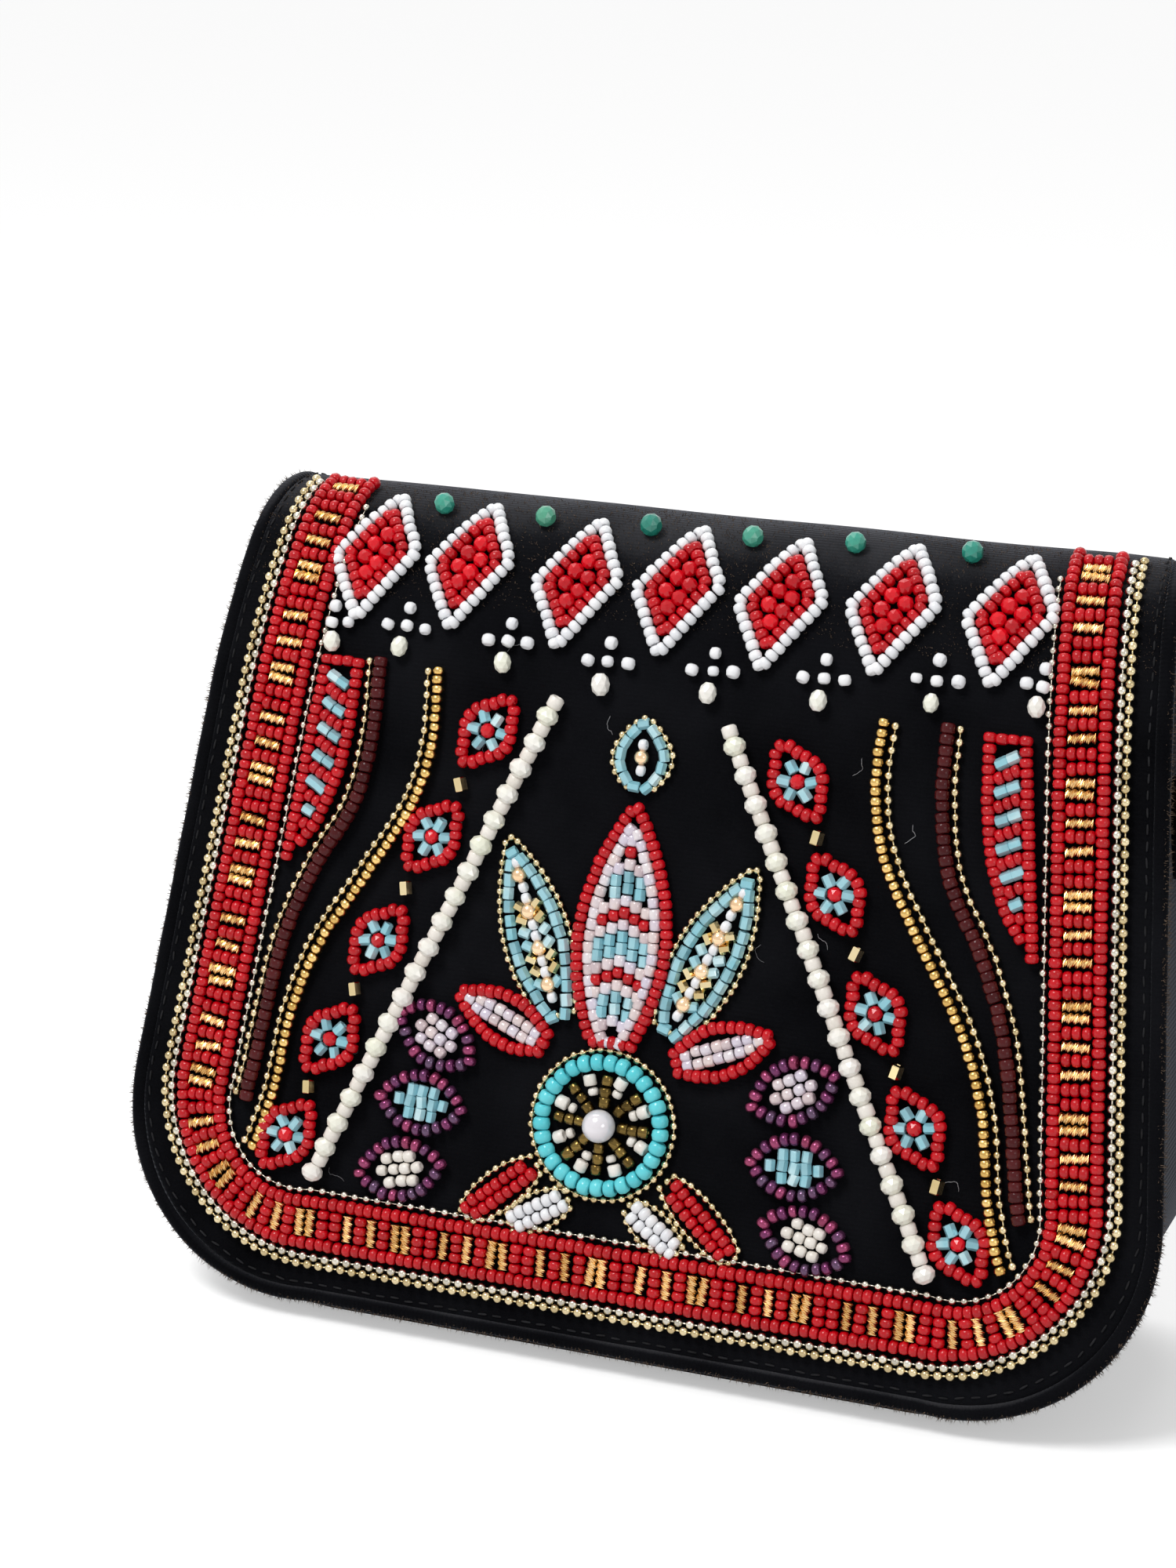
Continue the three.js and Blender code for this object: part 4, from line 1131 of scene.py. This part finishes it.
def make_upper_petals():
    for label, side in SIDES:
        node = f"lotus_petal_upper_{label}"
        aqua, balls = bead_sets(node, aqua=AQUA, chain=GOLD_BALL)
        gold, tubes, white = bead_sets(node, gold=GOLD_PEARL, tubes=GOLD_CUBE, white=WHITE)
        leaf = petal((side * 9.6, 3.1), side * 22.5, 31.0, 6.0)
        chain(balls, leaf.outline(0.2), SMALL_BALL, SMALL_PITCH, True, high=PETAL_CHAIN)
        aqua.lay(BUGLE, *walk(leaf.outline(1.9), 2.2, closed=True), (1, 1, 0.9))
        for hand in (-1, 1):
            for k, share in enumerate(np.arange(0.13, 0.78, 2.15 / leaf.length)):
                reach = leaf.width(share) - 3.9
                if reach < 0.9:
                    continue
                spot = leaf.spot(share - 0.02, hand * (reach * 0.5 + 0.75))
                filling = tubes if k % 4 > 1 else aqua
                filling.lay(BUGLE, spot, leaf.heading - hand * 0.95, (0.9, 0.9, 0.82))
        for k, share in enumerate(np.arange(0.1, 0.86, 2.05 / leaf.length)):
            if k % 3 == 1:
                gold.lay(GOLD_ROUND, leaf.spot(share), leaf.heading)
            else:
                white.lay(SMALL_SEED, leaf.spot(share), leaf.heading + math.pi / 2)


def make_lower_petals():
    for label, side in SIDES:
        node = f"lotus_petal_lower_{label}"
        leaf = petal((side * 11.5, -1.6), side * 68, 17.8, 4.9)
        red, lilac = bead_sets(node, red=RED, lilac=LILAC)
        red.lay(SEED, *walk(leaf.outline(1.1), 1.58, closed=True))
        shares = np.arange(0.1, 0.82, 1.8 / leaf.length)
        for offset in (-0.95, 0.95):
            spots = [leaf.spot(s, offset * min(max(leaf.width(s) - 2.9, 0.0) / 0.95, 1)) for s in shares]
            lilac.lay(SHORT_TUBE, spots, leaf.heading, (0.95, 0.95, 0.95))


def make_finial():
    node = "lotus_finial"
    leaf = petal((0, 41.4), 0, 11.5, 5.3)
    aqua, balls, gold, white = bead_sets(node, aqua=AQUA, chain=GOLD_BALL, gold=GOLD_PEARL, white=WHITE)
    chain(balls, leaf.outline(0.2), SMALL_BALL, SMALL_PITCH, True, high=PETAL_CHAIN)
    aqua.lay(BUGLE, *walk(leaf.outline(1.6), 2.15, closed=True), (0.9, 0.9, 0.88))
    middle = leaf.spot(0.42)
    gold.lay(GOLD_ROUND, middle, 0, 0.95, high=1.25)
    white.lay(SMALL_SEED, [middle + [0, 2.1], middle - [0, 2.1]], 0)


# Cloth slabs and swept strips
def slab(name, look, body, node, top, bottom, cloth):
    """A closed board between two grids of points, which share their rows and columns."""
    rows, columns = top.shape[:2]
    number = rows * columns
    index = np.arange(number).reshape(rows, columns)
    quads = np.stack([index[:-1, :-1], index[:-1, 1:], index[1:, 1:], index[1:, :-1]], -1).reshape(-1, 4)
    rim = np.concatenate([index[0, :-1], index[:-1, -1], index[-1, :0:-1], index[:0:-1, 0]])
    ahead = np.roll(rim, -1)
    wall = np.stack([rim, rim + number, ahead + number, ahead], -1)
    faces = np.concatenate([quads, quads[:, ::-1] + number, wall])
    shape = Shape(np.concatenate([top.reshape(-1, 3), bottom.reshape(-1, 3)]), faces, True)
    return dress(name, look, body, node, shape, np.tile(cloth.reshape(-1, 2), (2, 1)))


def dress(name, look, body, node, shape, cloth):
    """A piece of cloth or wire from a shape and the places of its points in the cloth."""
    piece = make(name, look[0], shape.points, shape.loops, shape.sizes, True, cloth)
    return settle(piece, body, look[1], node)


def upright(name, body, node, x, near, far, z):
    """A velvet board between two grids of depths over the same places."""
    cloth = np.stack([x, z], -1)
    return slab(name, VELVET, body, node, np.stack([x, near, z], -1), np.stack([x, far, z], -1), cloth)


def swept(path, across, upward, section, closed=False):
    """A section carried along a path, with flat ends unless the path closes."""
    section = np.asarray(section, float)
    points = path[:, None] + section[None, :, :1] * across[:, None] + section[None, :, 1:] * upward[:, None]
    number, sides = points.shape[:2]
    index = np.arange(number * sides).reshape(number, sides)
    there = np.roll(index, -1, axis=0) if closed else index[1:]
    here = index if closed else index[:-1]
    quads = np.stack([here, there, np.roll(there, -1, 1), np.roll(here, -1, 1)], -1).reshape(-1, 4)
    polygons = [list(quad) for quad in quads]
    if not closed:
        polygons += [list(index[0]), list(index[-1][::-1])]
    return Shape(points.reshape(-1, 3), polygons, True)


def sweep(name, look, body, node, path, across, upward, section, closed=False):
    shape = swept(path, across, upward, section, closed)
    sides = len(section)
    flat = np.stack([np.tile(np.arange(sides) * 0.4, len(path)), np.repeat(reach_along(path), sides)], -1)
    dress(name, look, body, node, shape, flat)


def graded(number, half, edge):
    """Steps from -1 to 1 that crowd within an edge of both ends, for a strip of a half width."""
    inner = 1 - edge / half
    near = 1 - (1 - inner) * np.sin(np.linspace(math.pi / 2, 0, 6)) ** 1.5
    return np.concatenate([-near[:0:-1], np.linspace(-inner, inner, number), near[1:]])


def rows_from(corner, outside, count, end, step):
    """Levels round a lower corner, and even levels above it."""
    low = corner - (corner + outside) * np.cos(np.linspace(0, math.pi / 2, count))
    return low, np.linspace(corner, end, int((end - corner) / step))[1:]


def face_grid(rows, columns, half):
    """Grids of places across and up a face, from its rows and their half widths."""
    return columns * half[:, None], rows[:, None] + 0 * columns


def fillet(distance, radius):
    """How far a surface drops near an edge that is rounded to a radius."""
    short = np.clip(radius - distance, 0, radius)
    return radius - np.sqrt(radius ** 2 - short ** 2)


def waves(a, b, size, seed):
    """A slow, smooth wander of cloth: a few sine waves with seeded phases."""
    own = np.random.default_rng(seed)
    total = 0
    for k in range(5):
        turn, phase, length = own.uniform(0, math.pi), own.uniform(0, 6.28), own.uniform(18, 60)
        total = total + np.sin((a * math.cos(turn) + b * math.sin(turn)) * 2 * math.pi / length + phase)
    return size * total / 5


def make_cover():
    rows = np.concatenate(rows_from(CHAIN_CORNER, COVER_OUT, 34, DROP_START + 0.4, 1.3))
    u, v = face_grid(rows, graded(110, CHAIN_HALF, 2.0), flap_half(rows, COVER_OUT))
    distance = edge_distance(u, v, COVER_OUT, CHAIN_HALF, CHAIN_CORNER)
    drop = fillet(distance, 1.25)
    swell = waves(u, v, FLAP_SWELL, 3) * np.clip(distance / 8, 0, 1) * np.clip((DROP_START - v) / 12, 0, 1)
    across, up = corner_swell(u, v)
    top = place(u + across, v + up, swell - drop - 0.05)
    bottom = place(u + across, v + up, -BOARD + drop)
    slab("flap_velvet", VELVET, "flap", "flap_cover", top, bottom, np.stack([u, v], -1))


def make_lining():
    outside = COVER_OUT - LINING_INSET
    rows = np.concatenate(rows_from(CHAIN_CORNER, outside, 34, DROP_START - 0.3, 2.6))
    u, v = face_grid(rows, graded(60, CHAIN_HALF, 1.5), flap_half(rows, outside))
    drop = fillet(edge_distance(u, v, outside, CHAIN_HALF, CHAIN_CORNER), 0.45)
    top = place(u, v, -BOARD - 0.1 - drop * 0.2)
    bottom = place(u, v, -BOARD - GAP - LINING + drop + waves(u, v, 0.12, 9))
    slab("flap_satin", SATIN, "flap", "flap_lining", top, bottom, np.stack([u, v], -1))


def rim_frame(places, heading):
    """The middle of the rolled edge at places along it, and its directions sideways and outward."""
    up, out = up_and_out(places[:, 1])
    sideways = np.sin(heading)[:, None] * np.array([1.0, 0, 0]) - np.cos(heading)[:, None] * up
    return place(places[:, 0], places[:, 1], -BOARD / 2 + 0.15), sideways, out


def make_welt():
    """The rolled edge: a soft tube with shallow puckers where it is sewn."""
    line = border_line(WELT - EDGE_MARGIN, DROP_START + 1.5)
    places, heading = walk(line, 1.0)
    places[0], places[-1] = line[0], line[-1]
    path, sideways, out = rim_frame(swollen(places), heading)
    along = np.arange(len(path))
    soft = (1 + 0.02 * np.sin(along * 0.37) + 0.015 * np.sin(along * 0.11))[:, None]
    section = circle(0, 1, 20) * [WELT + 0.05, WELT + 0.1]
    sweep("flap_edge_roll", VELVET, "flap", "flap_welt", path, sideways * soft, out * soft, section)


def make_edge_stitches():
    """Small stitches inside the rolled edge."""
    places, heading = walk(border_line(-STITCH_LINE, 148), 2.6)
    thread = turned(mirrored((0, 0.8), (0.13, 0.66), (0.17, 0)), 8).resting(0.06)
    Beads("edge_stitches", THREAD, "flap_welt").lay(thread, swollen(places), heading, loose=1.2)


HAIR = turned([(0, 1.0), (1.0, 0.0), (0, 0)], 3, False)


def grow_hairs(beads, at, normal, longest):
    """Short hairs of pile that lean at random from the normals of the cloth."""
    number = len(at)
    axis = unit(normal + rng.normal(0, 0.35, (number, 3)))
    out = unit(np.cross(axis, rng.normal(0, 1, (number, 3))))
    length = rng.uniform(0.35, 1.0, number) * longest
    size = np.stack([np.full(number, HAIR_RADIUS), np.full(number, HAIR_RADIUS), length], 1)
    beads.add(HAIR, at - normal * 0.08, axis, out, size)


def make_pile():
    """Pile that stands out along the flap's edge and over its brow, coloured brownish tan as painted
    backlight shining through it.
    """
    line = border_line(WELT - EDGE_MARGIN, DROP_START)
    places, heading = at_distance(line, rng.uniform(0, reach_along(line)[-1], EDGE_HAIRS))
    middle, sideways, out = rim_frame(swollen(places), heading)
    turn = rng.uniform(-0.9, 1.1, EDGE_HAIRS)[:, None]
    normal = np.cos(turn) * sideways + np.sin(turn) * out
    grow_hairs(Beads("edge_pile", PILE_PAINTED_BACKLIGHT, "flap_welt"), middle + normal * (WELT + 0.05), normal, 1.15)
    u = rng.uniform(-1, 1, BROW_HAIRS) * 83
    v = rng.uniform(112, 137, BROW_HAIRS)
    keep = np.abs(u) < flap_half(v, 4)
    u, v = u[keep], v[keep]
    grow_hairs(Beads("brow_pile", PILE_PAINTED_BACKLIGHT, "flap_cover"), place(u, v, 0), up_and_out(v)[1], 0.6)


def make_lint():
    """Loose fibres that cling to the velvet."""
    fibres = Beads("lint", LINT, "flap_cover")
    section = 0.035 * np.array([(1, 0), (0, 1), (-1, 0), (0, -1)])
    lift = 0.12 + 0.25 * np.abs(np.sin(np.arange(10) * 0.7))
    for k in range(LINT_COUNT):
        spots = [np.array([rng.uniform(-55, 55), rng.uniform(15, 108)])]
        heading = rng.uniform(0, 2 * math.pi)
        for bend in rng.normal(0, 0.5, 9):
            heading += bend
            spots.append(spots[-1] + rng.uniform(0.25, 0.6) * towards(heading))
        spots = np.array(spots)
        path = place(spots[:, 0], spots[:, 1], lift)
        ahead = unit(np.gradient(path, axis=0))
        out = up_and_out(spots[:, 1])[1]
        fibre = swept(path, np.cross(ahead, out), out, section)
        fibres.add(fibre, np.zeros((1, 3)), np.array([[0, 0, 1.0]]), np.array([[0, 1.0, 0]]))


def panel_levels(top, step):
    low, levels = rows_from(BODY_CORNER, 0, 24, top, step)
    return np.concatenate([low, levels[levels < top - 1.4], top - np.array([1.0, 0.6, 0.3, 0.1, 0.0])])


def panel_edge(x, z, top):
    """How far a place lies inside a body panel's outline."""
    return np.maximum(np.minimum(edge_distance(x, z, 0, BODY_HALF, BODY_CORNER), top - z), 0)


def make_front():
    levels = panel_levels(MOUTH, 2.2)
    x, z = face_grid(levels, graded(60, BODY_HALF, 1.6), body_half(levels))
    drop = fillet(panel_edge(x, z, MOUTH), 1.1)
    near, far = front_y(z, FRONT_DEPTH) + drop, front_y(z, FRONT_DEPTH + BOARD) - drop
    upright("front_velvet", "bag_body", "front_panel", x, near, far, z)


def make_back():
    """The back's velvet runs on past the hinge, up beside the flap's rear drop."""
    top = HINGE_Z + REAR_DROP - 0.2
    levels = panel_levels(top, 1.2)
    x, z = face_grid(levels, graded(60, BODY_HALF, 1.6), body_half(levels))
    drop = fillet(edge_distance(x, z, 0, BODY_HALF, BODY_CORNER), 1.1)
    crown = 0.5 * np.clip(panel_edge(x, z, top) / 25, 0, 1)
    crown = crown + waves(x, z, 0.18, 5) * np.clip((110 - z) / 30, 0, 1)
    far = BACK_Y - drop + crown * np.clip((HINGE_Z - 3 - z) / 20, 0, 1)
    panel = upright("back_velvet", None, "back_panel", x, BACK_Y - BOARD + drop, far, z)
    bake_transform(panel)


def make_gussets():
    """Side walls that go round the lower corners and sink in between front and back."""
    turns = np.linspace(0.005, math.pi / 2, 24)
    heights = np.linspace(BODY_CORNER, MOUTH, 40)[1:]
    across = np.concatenate([np.sin(turns), np.ones(len(heights))])
    down = np.concatenate([-np.cos(turns), np.zeros(len(heights))])
    level = np.concatenate([np.full(len(turns), BODY_CORNER), heights])
    reach = np.concatenate([np.full(len(turns), BODY_CORNER), body_half(heights) - BODY_HALF + BODY_CORNER])
    shares = np.linspace(-1, 1, 21)
    far = INSIDE_BACK - 0.02
    for label, side in SIDES:
        faces = []
        for inward, pinched in ((0.0, 1), (BOARD, -1)):
            rows = []
            for k in range(len(level)):
                z = level[k] + down[k] * (reach[k] - inward)
                x = BODY_HALF - BODY_CORNER + across[k] * (reach[k] - inward)
                near = float(front_y(z, INSIDE_FRONT)) + 0.02
                y = (near + far) / 2 + shares * (far - near) / 2
                pinch = fillet(np.maximum(np.minimum(y - near, far - y), 0), 0.9) * pinched
                sink = 1.6 * np.sin(np.pi * (shares + 1) / 2) * max(z / MOUTH, 0) ** 2
                rows.append(np.stack([side * (x - across[k] * (pinch + sink)), y, z + 0 * y], -1))
            faces.append(np.array(rows))
        slab(f"gusset_{label}_velvet", VELVET, "bag_body", f"gusset_{label}", *faces, faces[0][..., 1:])


def make_base():
    half = BODY_HALF - BODY_CORNER - GAP / 2
    near = float(front_y(0.0, INSIDE_FRONT))
    columns = graded(50, half, 1.4)
    y = near + (INSIDE_BACK - near) * np.linspace(0, 1, 25)[:, None] + 0 * columns
    x = columns * half + 0 * y
    room = np.minimum(np.minimum(y - near, INSIDE_BACK - y), half - np.abs(x))
    drop = fillet(np.maximum(room, 0), 0.9)
    top, bottom = np.stack([x, y, drop * 0.5], -1), np.stack([x, y, BOARD - drop], -1)
    slab("base_velvet", VELVET, "bag_body", "base_panel", top, bottom, np.stack([x, y], -1))


def soften(name, node):
    """The lining's model node with its corners rounded, as its own piece."""
    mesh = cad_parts[node].data.copy()
    piece = add_object(name, mesh)
    mesh.materials.clear()
    mesh.materials.append(SATIN[0])
    flat = piece.modifiers.new("flat", "DECIMATE")
    flat.decimate_type = "DISSOLVE"
    flat.angle_limit = math.radians(1)
    bevel = piece.modifiers.new("bevel", "BEVEL")
    bevel.width = 0.25 * MM
    bevel.segments = 2
    bevel.limit_method = "ANGLE"
    bevel.angle_limit = math.radians(40)
    graph = bpy.context.evaluated_depsgraph_get()
    done = bpy.data.meshes.new_from_object(piece.evaluated_get(graph))
    piece.modifiers.clear()
    piece.data = done
    settle(piece, "bag_body", SATIN[1], node)


def make_hem():
    """Hem stitches along the top of the lining bag."""
    top = MOUTH - 6
    half = float(half_width(top, -4, BODY_HALF, BODY_CORNER)) - 4
    near = float(front_y(top, INSIDE_FRONT + GAP + LINING)) + 0.05
    far = INSIDE_BACK - LINING - 0.05
    stitches = Beads("hem_stitches", HEM_THREAD, "lining_bag", body="bag_body")
    thread = turned(mirrored((0, 0.85), (0.14, 0.7), (0.18, 0)), 8)
    across = np.arange(-half, half, 3.0)
    for y, out in ((near, 1.0), (far, -1.0)):
        at = np.stack([across, 0 * across + y, 0 * across + top], 1)
        stitches.add(thread, at, 0 * at + [1.0, 0, 0], 0 * at + [0, out, 0])


# Snap: smooth turned plates
def make_snap():
    tip = SNAP_PLATE + 1.1
    stud = turned([
        (0, 0), (SNAP_RADIUS - 0.4, 0), (SNAP_RADIUS, 0.25), (SNAP_RADIUS, SNAP_PLATE - 0.2),
        (SNAP_RADIUS - 0.5, SNAP_PLATE), (SNAP_POST + 0.5, SNAP_PLATE), (SNAP_POST, SNAP_PLATE + 0.15),
        (SNAP_POST, tip - 0.15), (SNAP_POST - 0.3, tip), (0, tip),
    ], 48)
    socket = turned([
        (SNAP_POST + 0.4, 0.1), (SNAP_POST + 0.5, 0), (SNAP_RADIUS - 0.3, 0), (SNAP_RADIUS, 0.25),
        (SNAP_RADIUS, SNAP_PLATE - 0.35), (SNAP_RADIUS - 0.5, SNAP_PLATE), (SNAP_POST + 0.8, SNAP_PLATE),
        (SNAP_POST + 0.4, SNAP_PLATE - 0.3),
    ], 48, True, True)
    height = np.array([SNAP_HEIGHT])
    up, out = up_and_out(height)
    plate = Beads("snap_stud_plate", SNAP_METAL, "snap_stud")
    plate.add(stud, place(0.0, height, -FLAP_DEPTH), -out, up)
    plate = Beads("snap_socket_plate", SNAP_METAL, "snap_socket", body="bag_body")
    plate.add(socket, place(0.0, height, -SOCKET_DEPTH), out, up)


# Strap rings and the velvet tabs that hold them
EYE_INNER = RING_WIRE + RING_PLAY
EYE_OUT = GAP + EYE_INNER + TAB_STRAP
RING_Y = (float(front_y(RING_HEIGHT, FRONT_DEPTH)) + BACK_Y) / 2


def on_side(side, local):
    """From a strap seat's own frame, x out from the gusset, to the bag's."""
    local = np.asarray(local, float)
    lean = math.atan(SIDE_TAPER)
    x = local[:, 0] * math.cos(lean) - local[:, 2] * math.sin(lean)
    z = local[:, 0] * math.sin(lean) + local[:, 2] * math.cos(lean)
    reach = float(body_half(RING_HEIGHT)) + x
    return np.stack([side * reach, RING_Y + side * local[:, 1], RING_HEIGHT + z], -1)


def make_ring(label, side):
    half = RING_WIDTH / 2 + RING_WIRE
    drop = RING_DROP + 2 * RING_WIRE
    turns = np.linspace(-math.pi / 2, math.pi / 2, 60)
    path = [(EYE_OUT, half * math.sin(t), -drop * abs(math.cos(t)) ** 0.7) for t in turns]
    path += [(EYE_OUT, y, 0.0) for y in np.linspace(half - 0.7, 0.7 - half, 20)]
    path = on_side(side, path)
    along = unit(np.roll(path, -1, 0) - np.roll(path, 1, 0))
    normal = np.cross(path[1] - path[0], path[len(path) // 3] - path[0])
    normal = np.tile(normal / np.linalg.norm(normal), (len(path), 1))
    section = circle(0, RING_WIRE, 20)
    sweep(f"ring_{label}_wire", RING_METAL, f"ring_{label}", f"strap_ring_{label}",
          path, normal, np.cross(along, normal), section, True)


def rounded(value, power):
    return math.copysign(abs(value) ** power, value)


def make_tab(label, side):
    middle = EYE_INNER + TAB_STRAP / 2
    strip = [(GAP + TAB_STRAP / 2, 0, z) for z in np.linspace(-TAB_TAIL, -0.4, 18)]
    loop = np.linspace(math.pi, -0.62 * math.pi, 30)
    strip += [(EYE_OUT + middle * math.cos(t), 0, middle * math.sin(t)) for t in loop]
    strip += [(GAP + TAB_STRAP * 1.5 + 0.05, 0, z) for z in np.linspace(-3.6, 1 - TAB_TAIL, 14)]
    path = on_side(side, strip)
    wide = np.tile([0.0, 1.0, 0.0], (len(path), 1))
    ahead = unit(np.vstack([path[1:], path[-1]]) - np.vstack([path[0], path[:-1]]))
    section = []
    for t in full_turn(24):
        across, thick = rounded(math.cos(t), 0.25), rounded(math.sin(t), 0.7)
        section.append((TAB_WIDTH / 2 * across, TAB_STRAP / 2 * thick))
    sweep(f"tab_{label}_velvet", VELVET, "bag_body", f"strap_tab_{label}",
          path, wide, np.cross(ahead, wide), section)


make_border()
make_diamonds()
make_sprigs()
make_stripes()
make_wings()
make_strings()
make_garlands()
make_wheel()
make_leaves()
make_almonds()
make_middle_petal()
make_upper_petals()
make_lower_petals()
make_finial()
make_cover()
make_lining()
make_welt()
make_edge_stitches()
make_pile()
make_lint()
make_front()
make_back()
make_gussets()
make_base()
soften("lining_cloth", "lining_bag")
soften("pocket_cloth", "slip_pocket")
make_hem()
make_snap()
for label, side in SIDES:
    make_ring(label, side)
    make_tab(label, side)
for beads in Beads.made:
    beads.finish()


# Floor, background and lamps
FLOOR_GLOW = 0.41
WORLD_LIGHT = 0.38
FLOOR_REACH = 4000.0
FLOOR_LOW = -0.05


def make_floor():
    look = Look("floor", (0.8, 0.8, 0.8), 0.9, gloss=0.0)
    glow = look.add("Emission")
    look.link(look.times(look.shown_white(), FLOOR_GLOW), glow.inputs["Strength"])
    both = look.add("AddShader")
    look.link(look.shader.outputs[0], both.inputs[0])
    look.link(glow.outputs[0], both.inputs[1])
    look.link(both.outputs[0], look.tree.nodes["Material Output"].inputs["Surface"])
    corners = ((-1, -1), (1, -1), (1, 1), (-1, 1))
    points = [(FLOOR_REACH * x, FLOOR_REACH * y, FLOOR_LOW) for x, y in corners]
    make("floor", look.material, points, [0, 1, 2, 3], [4], False)


def make_world():
    world = bpy.data.worlds.new("world")
    bpy.context.scene.world = world
    world.use_nodes = True
    nodes = Nodes(world)
    light = nodes.tree.nodes["Background"]
    shown = nodes.add("Background")
    put(light, Color=(1, 1, 1, 1), Strength=WORLD_LIGHT)
    put(shown, Color=(1, 1, 1, 1), Strength=1.0)
    mix = nodes.add("MixShader")
    nodes.link(nodes.shown_white(), mix.inputs["Fac"])
    nodes.link(light.outputs[0], mix.inputs[1])
    nodes.link(shown.outputs[0], mix.inputs[2])
    nodes.link(mix.outputs[0], nodes.tree.nodes["World Output"].inputs["Surface"])


def make_lamp(name, kind, place_m, strength, size, aim=(0, 0, 0.06)):
    data = bpy.data.lights.new(name, kind)
    data.energy = strength
    if kind == "SUN":
        data.angle = size
    else:
        data.shape = "DISK"
        data.size = size
    lamp = add_object(name, data)
    lamp.location = place_m
    lamp.rotation_euler = (Vector(aim) - Vector(place_m)).to_track_quat("-Z", "Y").to_euler()


make_floor()
make_world()
make_lamp("sun", "SUN", (-0.35, 0.5, 1.0), 1.1, math.radians(45))
make_lamp("key", "AREA", (-0.28, -0.5, 0.95), 7.0, 0.42)
make_lamp("fill", "AREA", (0.75, -0.6, 0.4), 1.0, 0.35)

view = bpy.context.scene.view_settings
view.view_transform = "Standard"
